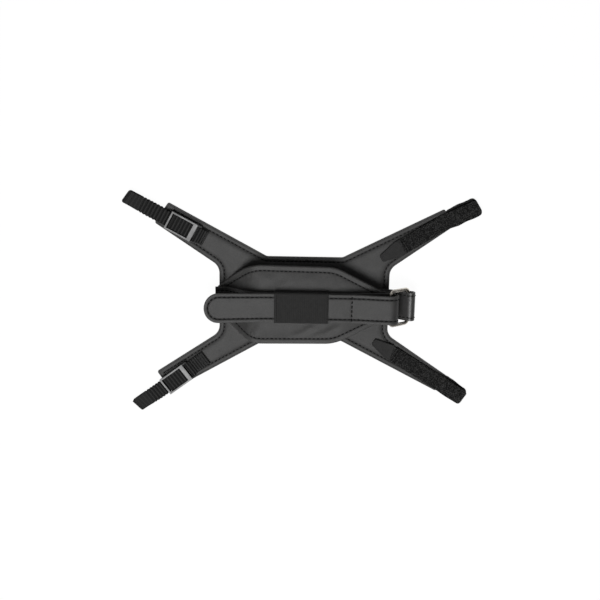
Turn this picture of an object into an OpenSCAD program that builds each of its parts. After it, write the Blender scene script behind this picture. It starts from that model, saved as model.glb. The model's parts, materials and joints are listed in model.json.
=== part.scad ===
// Four-corner hand-strap harness for a tablet computer.
// An X-shaped leather panel lies on the tablet's back, a strap at the end of each arm
// hooks one corner of the tablet, and a padded hand strap arches over the middle.
//
// Frame: +Z away from the tablet, +X towards the metal ring, origin at the centre of the
// panel's back face. Lengths are in millimetres and angles in degrees.

/* [Panel] */
// Distance from the centre to each straight side edge of the panel
side_x = 84.4; // [70:0.1:102]
// Height of the corner where a side edge turns into an arm
side_corner_y = 34; // [29:0.5:41]
// Radius of that corner
side_fillet = 13; // [6:0.5:16]
// Distance from the centre to the panel's upper waist edge
upper_waist_y = 45; // [41:0.5:54]
// Distance from the centre to the panel's lower waist edge
lower_waist_y = 41; // [36:0.5:49]
// Distance from the centre to each corner of the waist
waist_corner_x = 37.5; // [31:0.5:45]
// Distance along X from the centre to the middle of each arm's end
arm_end_x = 141; // [118:1:169]
// Distance along Y from the centre to the middle of each left arm's end
left_end_y = 87; // [82:0.5:101]
// Distance along Y from the centre to the middle of the upper right arm's end
upper_right_end_y = 87; // [82:0.5:101]
// Distance along Y from the centre to the middle of the lower right arm's end
lower_right_end_y = 84.5; // [79:0.5:101]
// Direction of the arms at their ends, measured from the X axis
arm_angle = 34; // [29:0.5:40]
// Width of the two left arms at their ends
left_arm_end_w = 24.6; // [22:0.1:29]
// Width of the two right arms at their ends
right_arm_end_w = 19.4; // [18:0.1:24]
// Thickness of the lining on the panel's back
lining_t = 0.9; // [0.7:0.1:1.2]
// Thickness of the stiffener inside the panel
core_t = 1.2; // [0.9:0.1:1.5]
// Thickness of the whole panel
panel_t = 3.0; // [2.7:0.1:3.6]
// Border between the panel's edge and its stiffener
core_border = 8; // [6:0.5:10]

/* [Hand pad] */
// Half width of the pad across the hand, at its wider end
pad_half_w = 40; // [33:0.5:48]
// How much narrower each half of the pad is towards the ring
pad_taper = 1.4; // [0:0.1:3]
// Length of the pad's sewn end that stands past the panel's left edge
pad_overhang = 3.6; // [2:0.1:6]
// Distance from the pad's free end, under the ring, to the panel's right edge
pad_end_gap = 0.4; // [0:0.1:3]
// Height of the pad's underside over the hand
arch_z = 18.8; // [15.6:0.1:22.6]
// Thickness of the pad over its foam
pad_mid_t = 5; // [4.2:0.1:6]
// Thickness of the pad where it is sewn flat
pad_edge_t = 2.6; // [2.2:0.1:3.1]
// Thickness of the pad's lining
pad_lining_t = 0.8; // [0.6:0.1:1]
// Thickness of the leather over the pad's foam
pad_cover_t = 0.9; // [0.7:0.1:1.1]
// Border between the pad's edge and its foam
foam_border = 8; // [6:0.5:10]

/* [Belt] */
// Width of the belt, of its ring tab and of the pad's two ends
belt_w = 28.8; // [24:0.1:34.6]
// Thickness of the belt
belt_t = 2.4; // [2:0.1:2.9]
// X of the tip of the belt's free end
belt_tip_x = -97.7; // [-117:0.1:-82]
// Inner radius of the belt's turn round the ring
belt_turn_r = 5.2; // [5:0.1:6]
// Thickness of one layer of hook or loop tape
tape_t = 1; // [0.8:0.1:1.2]
// Border between a strap's edge and the tape sewn on it
tape_border = 3.4; // [2:0.1:5]
// X of the belt's cross seam, where its hook tape ends
cross_seam_x = 46.8; // [42:0.1:52]

/* [Keeper] */
// Length of the elastic keeper along the belt
keeper_len = 53; // [44:0.5:56]
// Thickness of the elastic
keeper_t = 0.8; // [0.6:0.1:1]
// X of the keeper's left edge
keeper_x = -29.2; // [-35:0.1:-20]

/* [Ring] */
// Diameter of the ring's wire
wire_d = 3.6; // [3:0.1:4.3]
// Gap between each edge of the belt and the ring's side bar
ring_side_gap = 1.1; // [0.6:0.1:2]
// Distance between the axes of the ring's two long bars
ring_pitch = 22.2; // [21:0.1:23]
// Radius of the ring's corners, on the wire's axis
ring_corner_r = 4; // [3:0.1:5]
// Slope of the ring above the horizontal
ring_angle = 36; // [34:0.5:38]
// Thickness of one layer of the ring's leather tab
tab_t = 1.8; // [1.5:0.1:2.2]

/* [Webbing and buckles] */
// Width of the ribbed webbing
web_w = 15; // [12.5:0.1:18]
// Thickness of the ribbed webbing
web_t = 1.4; // [1.2:0.1:1.6]
// Inner radius of each webbing loop, where a tablet's corner bar sits
web_loop_r = 1.9; // [1.6:0.1:2.3]
// Length of the buckle's window
window_len = 22.5; // [19:0.5:26]
// Width of the buckle's side rails
rail_w = 1.5; // [1.2:0.1:1.8]
// Width of the bar at the outer end of the buckle
outer_bar_w = 1.6; // [1.3:0.1:2]
// Width of the buckle's cross bar
cross_bar_w = 4; // [3.3:0.1:4.8]
// Diameter of the buckle's end bar, which the sewn tab holds
end_bar_d = 2.2; // [1.8:0.1:2.6]

/* [Hook and loop straps] */
// Width of the straps on the two right arms
strap_w = 16; // [13.3:0.1:17]
// Thickness of those straps
strap_t = 1.6; // [1.3:0.1:1.9]
// Inner radius of each strap's turn, where a tablet's corner bar sits
strap_loop_r = 2.0; // [1.7:0.1:2.4]
// Length of the tapered pull tab
pull_len = 25; // [21:0.5:30]
// Width of the pull tab at its tip
pull_tip_w = 7; // [5.5:0.1:8.5]

/* [Hidden] */
$fn = 48;

// Gap that is left between pieces of different bodies
running_gap = 0.3;
// Gap between a strip and the slot that it is threaded through
thread_gap = 0.1;
// Gap between the belt's turn and the end of the pad under it
turn_pad_gap = 0.45;
// Depth that a corner strap is sewn into its arm
sewn_depth = 12;
// Arc steps on a rounded corner
arc_steps = 8;

// Each strap: the middle of its arm's end, its direction, how far along it and how far
// beside it that point lies, then a left strap's end bar or a right strap's whole length
upper_web = [[-arm_end_x, left_end_y], 152, 50, -1.8, 9.2];
lower_web = [[-arm_end_x, -left_end_y], 217.2, 50.5, -4.8, 20.2];
upper_strap = [[arm_end_x, upper_right_end_y], 32, 78.2, 1.1, 105.6];
lower_strap = [[arm_end_x, -lower_right_end_y], -32.3, 83.1, 0.5, 107.6];
// Distance from a tab's sewn end to the outside of its webbing loop
web_reach = 88;

// ---------- outlines ----------

function unit(v) = v / norm(v);
function cross2(a, b) = a[0] * b[1] - a[1] * b[0];
function smooth(t) = let(s = min(1, max(0, t))) s * s * (3 - 2 * s);
function mirrored(corners) =
    [for (i = [len(corners) - 1:-1:0]) [corners[i][0], -corners[i][1], corners[i][2]]];
// Corners of one side, with the same ones mirrored in the X axis
function both_sides(corners) = concat(corners, mirrored(corners));

// Arc of radius r that rounds corner b between a and c
function corner_arc(a, b, c, r) =
    let (
        to_a = unit(a - b),
        to_c = unit(c - b),
        half = acos(to_a * to_c) / 2,
        centre = b + unit(to_a + to_c) * r / sin(half),
        start = b + to_a * r / tan(half) - centre,
        turn = sign(cross2(b - a, c - b)) * (180 - 2 * half)
    )
    [for (i = [0:arc_steps]) let (t = turn * i / arc_steps)
        centre + [start[0] * cos(t) - start[1] * sin(t), start[0] * sin(t) + start[1] * cos(t)]];

// Outline through corners, each given as [x, y, radius]
function rounded(corners) =
    let (n = len(corners), p = [for (c = corners) [c[0], c[1]]])
    [for (i = [0:n - 1]) each corner_arc(p[(i + n - 1) % n], p[i], p[(i + 1) % n], corners[i][2])];

// Corners moved inwards by one distance per edge; edge i runs from corner i to corner i + 1
function inset(corners, borders) =
    let (n = len(corners), p = [for (c = corners) [c[0], c[1]]])
    [for (i = [0:n - 1])
        let (
            before = unit(p[i] - p[(i + n - 1) % n]),
            after = unit(p[(i + 1) % n] - p[i]),
            turn = cross2(before, after),
            d_before = borders[(i + n - 1) % n],
            d_after = borders[i],
            moved = p[i] + (after * d_before - before * d_after) / turn
        )
        [moved[0], moved[1], max(1, corners[i][2] - sign(turn) * min(d_before, d_after))]];

// Closed outline of a strip of thickness t whose middle follows path
function strip(path, t) =
    let (
        n = len(path),
        side = [for (i = [0:n - 1])
            let (d = unit(path[min(n - 1, i + 1)] - path[max(0, i - 1)])) [-d[1], d[0]] * t / 2]
    )
    concat([for (i = [0:n - 1]) path[i] + side[i]], [for (i = [n - 1:-1:0]) path[i] - side[i]]);

function arc(centre, r, from, to, steps = 16) =
    [for (i = [0:steps]) let (a = from + (to - from) * i / steps) centre + r * [cos(a), sin(a)]];

function heading(v) = atan2(v[1], v[0]);

// Outside of a band folded round a bar, with two layers of thickness t that meet at apex
function fold_outside(apex, centre, r, t) =
    let (
        a = heading(centre - apex),
        side = [-sin(a), cos(a)] * t,
        from_low = centre - (apex - side),
        from_high = centre - (apex + side),
        low = heading(from_low) - asin((r + t) / norm(from_low)) - 90,
        high = heading(from_high) + asin((r + t) / norm(from_high)) + 90
    )
    concat([apex - side], arc(centre, r + t, low, high), [apex + side]);

// Extrudes an outline drawn in X and Z by width w across Y
module across(w) {
    rotate([90, 0, 0]) linear_extrude(w, center = true) children();
}

// Band folded round a bar: its tail, drawn by its lower and upper edges, holds both layers
module folded_band(tail_low, tail_high, apex, centre, r, t, w) {
    difference() {
        across(w) polygon(concat(tail_low, fold_outside(apex, centre, r, t), tail_high));
        across(w + 2) polygon(fold_outside(apex, centre, r, 0));
    }
}

// Flat slab between two heights, under a plan outline
module slab(points, low, high) {
    translate([0, 0, low]) linear_extrude(high - low) polygon(points);
}

module box_between(low, high) {
    translate(low) cube(high - low);
}

// Local frame of a corner strap: +X outwards along it from its inner end
module at_arm(s) {
    translate([s[0][0], s[0][1], 0]) rotate([0, 0, s[1]]) translate([-s[2], -s[3], 0]) children();
}
function sewn_u(s) = s[2] - sewn_depth;

// ---------- panel ----------

arm_side = [-sin(arm_angle), cos(arm_angle)];
waist_fillet = 6;
end_fillet = 2;

// The two end corners of a right arm, inner one first; a left arm mirrors them
function arm_end(w, end_y) =
    [[arm_end_x, end_y] - arm_side * w / 2, [arm_end_x, end_y] + arm_side * w / 2];

// Corners of the panel's upper half; its lower half is a mirrored one of its own size
function half_panel(waist_y, right_end_y) =
    let (
        right = arm_end(right_arm_end_w, right_end_y),
        left = arm_end(left_arm_end_w, left_end_y)
    )
    [
        [side_x, side_corner_y, side_fillet],
        [right[0][0], right[0][1], end_fillet],
        [right[1][0], right[1][1], end_fillet],
        [waist_corner_x, waist_y, waist_fillet],
        [-waist_corner_x, waist_y, waist_fillet],
        [-left[1][0], left[1][1], end_fillet],
        [-left[0][0], left[0][1], end_fillet],
        [-side_x, side_corner_y, side_fillet]
    ];
panel_corners = concat(
    half_panel(upper_waist_y, upper_right_end_y),
    mirrored(half_panel(lower_waist_y, lower_right_end_y)));
// The stiffener stops short of the straps sewn into each arm's end
end_edges = [1, 5, 9, 13];
core_borders = [for (i = [0:len(panel_corners) - 1])
    len(search(i, end_edges)) > 0 ? core_border + sewn_depth : core_border];

module panel_lining() {
    color([0.10, 0.10, 0.10]) slab(rounded(panel_corners), 0, lining_t);
}

module panel_core() {
    color([0.32, 0.32, 0.33])
        slab(rounded(inset(panel_corners, core_borders)), lining_t, lining_t + core_t);
}

module panel_face() {
    color([0.30, 0.30, 0.29]) difference() {
        slab(rounded(panel_corners), lining_t, panel_t);
        slab(rounded(inset(panel_corners, core_borders)), lining_t - 1, lining_t + core_t);
        for (s = [upper_web, lower_web])
            at_arm(s) strip_pocket(sewn_u(s), web_fold_u, web_w, web_t);
        for (s = [upper_strap, lower_strap])
            at_arm(s) strip_pocket(sewn_u(s), strap_fold_u(s), strap_w, strap_t);
    }
}

// Slot in the panel's edge that a sewn-in strip fills
module strip_pocket(from_u, to_u, w, t) {
    box_between([from_u, -w / 2, lining_t - 1], [to_u, w / 2, lining_t + t]);
}

// ---------- places of the ring and of the belt's turn ----------

ring_pivot = [side_x + 18.1, panel_t + 11];
ring_far_bar = ring_pivot + ring_pitch * [-cos(ring_angle), sin(ring_angle)];
// Place of the ring's far bar in the belt's turn, which leaves it room to swing outwards
bar_in_turn = [-0.6, -0.8];
turn_centre = ring_far_bar - bar_in_turn;
turn_mid_r = belt_turn_r + belt_t / 2;
half_belt = belt_w / 2;
// Lowest point of the belt's turn
turn_low_z = turn_centre[1] - belt_turn_r - belt_t;

// ---------- hand pad ----------

pad_left_x = -side_x - pad_overhang;
pad_right_x = side_x - pad_end_gap;
pad_shoulder_left = pad_left_x + 35;
pad_shoulder_right = pad_right_x - 53.5;
pad_neck_right = pad_right_x - 9;
// X where the pad leaves the panel and where it reaches its full height
pad_rise = [pad_left_x + 10, pad_left_x + 40];
// X range over which the pad comes down to the ring, and how far
pad_fall = [pad_right_x - 54, pad_right_x + 1];
pad_fall_z = arch_z + pad_edge_t + turn_pad_gap - turn_low_z;
// Lengths over which the pad thickens from its two ends
pad_swell = [25, 35];
flange_z = panel_t + running_gap;

function pad_under(x) = flange_z
    + (arch_z - flange_z) * smooth((x - pad_rise[0]) / (pad_rise[1] - pad_rise[0]))
    - pad_fall_z * smooth((x - pad_fall[0]) / (pad_fall[1] - pad_fall[0]));
function pad_thick(x) = pad_edge_t + (pad_mid_t - pad_edge_t)
    * min(smooth((x - pad_rise[0]) / pad_swell[0]), smooth((pad_fall[1] - x) / pad_swell[1]));
function pad_top(x) = pad_under(x) + pad_thick(x);

// One side's corners, from the pad's free end to its sewn end
pad_side = [
    [pad_right_x, half_belt + 0.4, 1],
    [pad_neck_right, half_belt + 1.4, 6],
    [pad_shoulder_right, pad_half_w - pad_taper, 40],
    [pad_shoulder_left, pad_half_w - 0.2, 32],
    [-side_x, half_belt + 0.6, 3],
    [pad_left_x, half_belt, 1]
];
// The foam ends where the pad is thick enough to hold it
foam_x = [pad_rise[0] + 16, pad_fall[1] - 22];
foam_half_w = pad_half_w - foam_border;
foam_end_half_w = half_belt - 2;
foam_side = [
    [foam_x[1], foam_end_half_w, 3],
    [pad_shoulder_right - 2, foam_half_w - pad_taper, 16],
    [pad_shoulder_left + 6, foam_half_w, 9],
    [foam_x[0], foam_end_half_w, 3]
];
pad_outline = rounded(both_sides(pad_side));
foam_outline = rounded(both_sides(foam_side));

pad_steps = 56;
pad_xs = [for (i = [0:pad_steps]) pad_left_x + (pad_right_x - pad_left_x) * i / pad_steps];

// Layer of the pad inside a plan outline, between two heights given as functions of X
module pad_layer(outline, low, high) {
    intersection() {
        slab(outline, 0, 2 * arch_z);
        across(3 * pad_half_w) polygon(concat(
            [for (x = pad_xs) [x, low(x)]],
            [for (i = [pad_steps:-1:0]) [pad_xs[i], high(pad_xs[i])]]));
    }
}

lining_top = function(x) pad_under(x) + pad_lining_t;
foam_top = function(x) pad_top(x) - pad_cover_t;

module pad_lining() {
    color([0.12, 0.12, 0.12]) pad_layer(pad_outline, function(x) pad_under(x), lining_top);
}

module pad_foam() {
    color([0.45, 0.45, 0.45]) pad_layer(foam_outline, lining_top, foam_top);
}

module pad_cover() {
    color([0.31, 0.31, 0.30]) difference() {
        pad_layer(pad_outline, lining_top, function(x) pad_top(x));
        pad_layer(foam_outline, function(x) lining_top(x) - 0.4, foam_top);
    }
}

// ---------- belt ----------

// Heights of the belt's lower run, its two tapes and its upper run, from the pad upwards
lower_run_z = arch_z + pad_mid_t + keeper_t + thread_gap;
loop_tape_z = lower_run_z + belt_t;
hook_tape_z = loop_tape_z + tape_t;
upper_run_z = hook_tape_z + tape_t;

// X where the lower run levels out over the pad, and where the two runs part towards the ring
lower_level_x = pad_rise[1];
lower_part_x = pad_right_x - 46;
upper_part_x = cross_seam_x;
// X where the free end begins: it can be peeled up from here to its tip
peel_x = keeper_x - 1.8;

// The lower run follows the pad up from its sewn end and levels out under the keeper
belt_rise_steps = 14;
belt_rise = [for (i = [0:belt_rise_steps])
    let (
        x = pad_left_x + (lower_level_x - pad_left_x) * i / belt_rise_steps,
        slope = [1, pad_top(x + 0.5) - pad_top(x - 0.5)],
        lift = thread_gap + keeper_t * smooth((x - pad_rise[0]) / (pad_rise[1] - pad_rise[0]))
    )
    [x, pad_top(x) + lift] + [-slope[1], slope[0]] / norm(slope) * belt_t / 2];

function lower_mid(x) = lower_run_z + belt_t / 2
    + (turn_centre[1] - turn_mid_r - lower_run_z - belt_t / 2)
    * smooth((x - lower_part_x) / (turn_centre[0] - lower_part_x));
function upper_mid(x) = upper_run_z + belt_t / 2
    + (turn_centre[1] + turn_mid_r - upper_run_z - belt_t / 2)
    * smooth((x - upper_part_x) / (turn_centre[0] - upper_part_x));

part_steps = 14;
belt_path = concat(
    belt_rise,
    [for (i = [0:part_steps - 1])
        let (x = lower_part_x + (turn_centre[0] - lower_part_x) * i / part_steps) [x, lower_mid(x)]],
    arc(turn_centre, turn_mid_r, -90, 90),
    [for (i = [part_steps - 1:-1:0])
        let (x = upper_part_x + (turn_centre[0] - upper_part_x) * i / part_steps) [x, upper_mid(x)]],
    [[peel_x, upper_mid(peel_x)]]);

module belt() {
    color([0.32, 0.32, 0.31]) across(belt_w) polygon(strip(belt_path, belt_t));
}

module belt_free_end() {
    tip_r = half_belt;
    color([0.32, 0.32, 0.31]) translate([0, 0, upper_run_z]) {
        translate([belt_tip_x + tip_r, -half_belt, 0])
            cube([peel_x - belt_tip_x - tip_r, belt_w, belt_t]);
        intersection() {
            translate([belt_tip_x + tip_r, 0, 0]) cylinder(h = belt_t, r = tip_r);
            translate([belt_tip_x - 1, -half_belt, 0]) cube([tip_r + 1, belt_w, belt_t]);
        }
    }
}

// Sewn tape between two X positions, inside the belt's edges
module belt_tape(from_x, to_x, low) {
    half = half_belt - tape_border;
    box_between([from_x, -half, low], [to_x, half, low + tape_t]);
}

tape_inset_x = 4;
module belt_loop_tape() {
    color([0.08, 0.08, 0.08])
        belt_tape(lower_level_x + tape_inset_x, lower_part_x - tape_inset_x, loop_tape_z);
}

module belt_hook_tape() {
    color([0.08, 0.08, 0.08]) belt_tape(peel_x + 0.5, upper_part_x - tape_inset_x, hook_tape_z);
}

module free_end_hook_tape() {
    color([0.08, 0.08, 0.08]) belt_tape(belt_tip_x + half_belt, peel_x - 0.5, hook_tape_z);
}

module elastic_keeper() {
    inner_h = upper_run_z + belt_t - lower_run_z + 2 * thread_gap;
    inner = [keeper_len + 2, belt_w + 2 * thread_gap, inner_h];
    outer = [keeper_len, inner[1] + 2 * keeper_t, inner_h + 2 * keeper_t - thread_gap];
    color([0.18, 0.18, 0.18]) difference() {
        translate([keeper_x, -outer[1] / 2, lower_run_z - keeper_t]) cube(outer);
        translate([keeper_x - 1, -inner[1] / 2, lower_run_z - thread_gap / 2]) cube(inner);
    }
}

// ---------- ring and its tab ----------

module ring_corner() {
    rotate_extrude(angle = 90) translate([ring_corner_r, 0]) circle(d = wire_d);
}

// Drawn flat in X and Y with the near bar's axis on Y, then sloped about that bar
module rectangular_ring() {
    half_y = half_belt + ring_side_gap + wire_d / 2;
    straight_y = half_y - ring_corner_r;
    straight_x = ring_pitch - 2 * ring_corner_r;
    color([0.72, 0.70, 0.66]) translate([ring_pivot[0], 0, ring_pivot[1]]) rotate([0, ring_angle, 0]) {
        for (x = [0, -ring_pitch])
            translate([x, 0, 0]) rotate([90, 0, 0])
                cylinder(h = 2 * straight_y, d = wire_d, center = true);
        for (s = [-1, 1])
            translate([-ring_pitch / 2, s * half_y, 0]) rotate([0, 90, 0])
                cylinder(h = straight_x, d = wire_d, center = true);
        translate([-ring_corner_r, straight_y, 0]) ring_corner();
        translate([ring_corner_r - ring_pitch, straight_y, 0]) rotate([0, 0, 90]) ring_corner();
        translate([ring_corner_r - ring_pitch, -straight_y, 0]) rotate([0, 0, 180]) ring_corner();
        translate([-ring_corner_r, -straight_y, 0]) rotate([0, 0, 270]) ring_corner();
    }
}

tab_turn_r = wire_d / 2 + 1.1;
// How far past the ring's bar the middle of the tab's turn lies
tab_slack = 2.8;
tab_sewn_x = side_x - 24;
// Length of the tab's open fold, from the end of its seam to the ring's bar
tab_fold_len = 13;
// Two layers lie on the panel, rise from its edge and open round the ring's near bar
tab_bend = [side_x - 5, panel_t + tab_t];
tab_heading = heading(ring_pivot - tab_bend);
tab_apex = ring_pivot - tab_fold_len * [cos(tab_heading), sin(tab_heading)];
tab_turn = ring_pivot + tab_slack * [cos(tab_heading), sin(tab_heading)];

module ring_tab() {
    color([0.29, 0.29, 0.28]) folded_band(
        [[tab_sewn_x, panel_t], [tab_bend[0] + 0.5, panel_t]],
        [[tab_bend[0] - 0.5, panel_t + 2 * tab_t], [tab_sewn_x, panel_t + 2 * tab_t]],
        tab_apex, tab_turn, tab_turn_r, tab_t, belt_w);
}

// ---------- webbing loops and buckles ----------

web_fold_u = web_reach - web_loop_r - web_t;
web_fold_z = lining_t + web_t + web_loop_r;
web_top_z = web_fold_z + web_loop_r;
web_tab_z = panel_t;
// Gap between the webbing and the bars above and below it
bar_gap = 0.1;
bar_t = 1.2;
// Where the buckle's bars stand, measured from the middle of its end bar
slot_len = 2.6;
cross_bar_u = end_bar_d / 2 + slot_len;
window_u = cross_bar_u + cross_bar_w;
outer_bar_u = window_u + window_len;
buckle_end_u = outer_bar_u + outer_bar_w;
grip_bar_w = 6;
buckle_low_z = web_top_z - bar_gap - bar_t - 0.2;
buckle_high_z = web_top_z + web_t + bar_gap + bar_t;
// The end bar is clear of the tab's two layers
end_bar_z = web_tab_z + web_t + running_gap + end_bar_d / 2;
buckle_half_w = web_w / 2 + running_gap + rail_w;

// Distance from the tab's sewn end at which the webbing enters the buckle
function web_cut_u(s) = s[4] + buckle_end_u + 0.9;

// Strip that leaves the panel's edge, turns round a bar and comes back above
module looped_strip(sewn_u, fold_u, cut_u, fold_z, r, w, t) {
    across(w) {
        translate([sewn_u, fold_z - r - t]) square([fold_u - sewn_u, t]);
        translate([cut_u, fold_z + r]) square([fold_u - cut_u, t]);
        translate([fold_u, fold_z]) intersection() {
            difference() {
                circle(r = r + t);
                circle(r = r);
            }
            translate([0, -2 * (r + t)]) square([2 * (r + t), 4 * (r + t)]);
        }
    }
}

module web_loop(s) {
    color([0.13, 0.13, 0.13]) at_arm(s)
        looped_strip(sewn_u(s), web_fold_u, web_cut_u(s), web_fold_z, web_loop_r, web_w, web_t);
}

// Part of the webbing that is threaded through the buckle and tilts with it
module web_tail(s) {
    from_u = s[4] + cross_bar_u + 0.3;
    color([0.13, 0.13, 0.13]) at_arm(s)
        box_between([from_u, -web_w / 2, web_top_z], [web_cut_u(s), web_w / 2, web_top_z + web_t]);
}

// Length of the open fold of a buckle's tab
buckle_fold_len = 6;

// Short webbing sewn to the arm, folded round the buckle's end bar
module buckle_tab(s) {
    apex = [s[4] - buckle_fold_len, web_tab_z + web_t];
    color([0.12, 0.12, 0.12]) at_arm(s) folded_band(
        [[0, web_tab_z]], [[apex[0] - 1, web_tab_z + 2 * web_t], [0, web_tab_z + 2 * web_t]],
        apex, [s[4], end_bar_z], end_bar_d / 2 + running_gap, web_t, web_w);
}

module buckle_bar(from_u, w, low, high) {
    box_between([from_u, -buckle_half_w, low], [from_u + w, buckle_half_w, high]);
}

module ladder_buckle(s) {
    nose = end_bar_d / 2;
    color([0.20, 0.20, 0.20]) at_arm(s) translate([s[4], 0, 0]) {
        for (side = [-1, 1])
            translate([0, side * (buckle_half_w - rail_w / 2), 0]) across(rail_w) polygon([
                [-nose, end_bar_z - nose], [cross_bar_u, buckle_low_z],
                [buckle_end_u - 2, buckle_low_z], [buckle_end_u, buckle_low_z + 1],
                [buckle_end_u, buckle_high_z],
                [cross_bar_u, buckle_high_z], [-nose, end_bar_z + nose]]);
        translate([0, 0, end_bar_z]) rotate([90, 0, 0])
            cylinder(h = 2 * buckle_half_w, d = end_bar_d, center = true);
        buckle_bar(cross_bar_u, cross_bar_w, buckle_high_z - bar_t, buckle_high_z);
        buckle_bar(outer_bar_u, outer_bar_w, buckle_high_z - bar_t, buckle_high_z);
        buckle_bar(window_u + (window_len - grip_bar_w) / 2, grip_bar_w,
            buckle_low_z, web_top_z - bar_gap);
    }
}

// ---------- hook and loop straps ----------

strap_fold_z = lining_t + strap_t + strap_loop_r;
strap_top_z = strap_fold_z + strap_loop_r;
flap_z = panel_t + tape_t + 0.2;
function strap_fold_u(s) = s[4] - strap_loop_r - strap_t;
function strap_hinge_u(s) = strap_fold_u(s) - 3;

module corner_strap(s) {
    color([0.11, 0.11, 0.11]) at_arm(s)
        looped_strip(sewn_u(s), strap_fold_u(s), strap_hinge_u(s), strap_fold_z,
            strap_loop_r, strap_w, strap_t);
}

// Upper run of the strap: it comes down from the loop and lies along the arm
module strap_flap(s) {
    end_u = s[2];
    mid = strap_t / 2;
    path = [
        [pull_len, flap_z + mid], [end_u - 12, flap_z + mid], [end_u - 6, flap_z + mid + 0.4],
        [end_u + 6, strap_top_z + mid - 0.4], [end_u + 12, strap_top_z + mid],
        [strap_hinge_u(s), strap_top_z + mid]];
    color([0.15, 0.15, 0.15]) at_arm(s) across(strap_w) polygon(strip(path, strap_t));
}

module pull_tab(s) {
    half = strap_w / 2;
    tip = pull_tip_w / 2;
    color([0.19, 0.19, 0.19]) at_arm(s) slab(
        rounded([[0, -tip, 1.5], [pull_len * 0.75, -half, 12], [pull_len, -half, 0.01],
            [pull_len, half, 0.01], [pull_len * 0.75, half, 12], [0, tip, 1.5]]),
        flap_z, flap_z + strap_t);
}

// Hook tape sewn on the arm, under the flap
module hook_patch(s) {
    half = strap_w / 2 - 1;
    color([0.07, 0.07, 0.07]) at_arm(s)
        box_between([pull_len / 2, -half, panel_t], [sewn_u(s), half, panel_t + tape_t]);
}

// ---------- nodes ----------

panel_lining();
panel_core();
panel_face();
ring_tab();
buckle_tab(upper_web);  // upper_buckle_tab
buckle_tab(lower_web);  // lower_buckle_tab
web_loop(upper_web);  // upper_web_loop
web_loop(lower_web);  // lower_web_loop
corner_strap(upper_strap);  // upper_corner_strap
corner_strap(lower_strap);  // lower_corner_strap
hook_patch(upper_strap);  // upper_hook_patch
hook_patch(lower_strap);  // lower_hook_patch
pad_lining();
pad_foam();
pad_cover();
belt();
belt_loop_tape();
belt_hook_tape();
belt_free_end();
free_end_hook_tape();
elastic_keeper();
rectangular_ring();
ladder_buckle(upper_web);  // upper_buckle
web_tail(upper_web);  // upper_web_tail
ladder_buckle(lower_web);  // lower_buckle
web_tail(lower_web);  // lower_web_tail
strap_flap(upper_strap);  // upper_strap_flap
pull_tab(upper_strap);  // upper_pull_tab
strap_flap(lower_strap);  // lower_strap_flap
pull_tab(lower_strap);  // lower_pull_tab
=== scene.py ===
"""Four-corner hand-strap harness for a tablet: its looks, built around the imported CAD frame.

Lengths are in millimetres until a mesh is made. Places are read from the CAD nodes, joints and
mounts, so the pieces follow the frame.
"""

import json
import math
import random

import bmesh
import bpy
import numpy as np
from mathutils import Matrix, Vector, geometry, noise


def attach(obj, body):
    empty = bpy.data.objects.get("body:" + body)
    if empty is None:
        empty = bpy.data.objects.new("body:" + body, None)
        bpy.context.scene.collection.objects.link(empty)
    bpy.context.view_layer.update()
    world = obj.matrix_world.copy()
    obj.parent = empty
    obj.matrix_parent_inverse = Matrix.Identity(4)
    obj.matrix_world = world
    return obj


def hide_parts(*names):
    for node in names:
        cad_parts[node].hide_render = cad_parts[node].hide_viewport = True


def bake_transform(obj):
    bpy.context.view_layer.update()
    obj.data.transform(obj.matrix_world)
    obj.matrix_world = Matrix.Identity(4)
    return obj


MM = 0.001
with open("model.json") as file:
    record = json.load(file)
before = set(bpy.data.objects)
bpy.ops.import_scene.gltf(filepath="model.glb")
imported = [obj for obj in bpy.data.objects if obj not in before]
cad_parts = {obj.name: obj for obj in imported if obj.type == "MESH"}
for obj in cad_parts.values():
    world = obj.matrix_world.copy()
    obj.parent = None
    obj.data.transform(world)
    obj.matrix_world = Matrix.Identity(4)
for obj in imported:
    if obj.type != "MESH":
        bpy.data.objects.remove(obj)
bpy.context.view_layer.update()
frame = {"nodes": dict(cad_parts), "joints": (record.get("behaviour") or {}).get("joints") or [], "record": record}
JOINTS = {joint["name"]: joint for joint in frame["joints"]}
MOUNTS = {mount["name"]: mount for mount in frame["record"]["mounts"]}
rng = random.Random(11)


# ---------- camera and light ----------

VIEW_TILT = math.radians(15)  # the camera leans this far from straight above, towards +Y
VIEW_ROLL = math.radians(1)
VIEW_DISTANCE = 1.1
VIEW_CENTRE = (-0.004, 0.0003)  # where the frame's origin lies from the picture's middle, metres
SENSOR = 36
FRAME_WIDTH = 0.6  # metres that the picture spans at the origin's distance


def add_camera():
    back = Vector((0, math.sin(VIEW_TILT), math.cos(VIEW_TILT)))
    right = Vector((1, 0, 0))
    up = back.cross(right)
    turn_right = right * math.cos(VIEW_ROLL) + up * math.sin(VIEW_ROLL)
    turn_up = up * math.cos(VIEW_ROLL) - right * math.sin(VIEW_ROLL)
    data = bpy.data.cameras.new("camera")
    data.sensor_width = SENSOR
    data.lens = SENSOR * VIEW_DISTANCE / FRAME_WIDTH
    data.clip_start, data.clip_end = 0.01, 20
    camera = bpy.data.objects.new("camera", data)
    bpy.context.scene.collection.objects.link(camera)
    place = back * VIEW_DISTANCE + turn_right * VIEW_CENTRE[0] + turn_up * VIEW_CENTRE[1]
    axes = Matrix((turn_right, turn_up, back)).transposed()
    camera.matrix_world = Matrix.Translation(place) @ axes.to_4x4()
    bpy.context.scene.camera = camera


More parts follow.
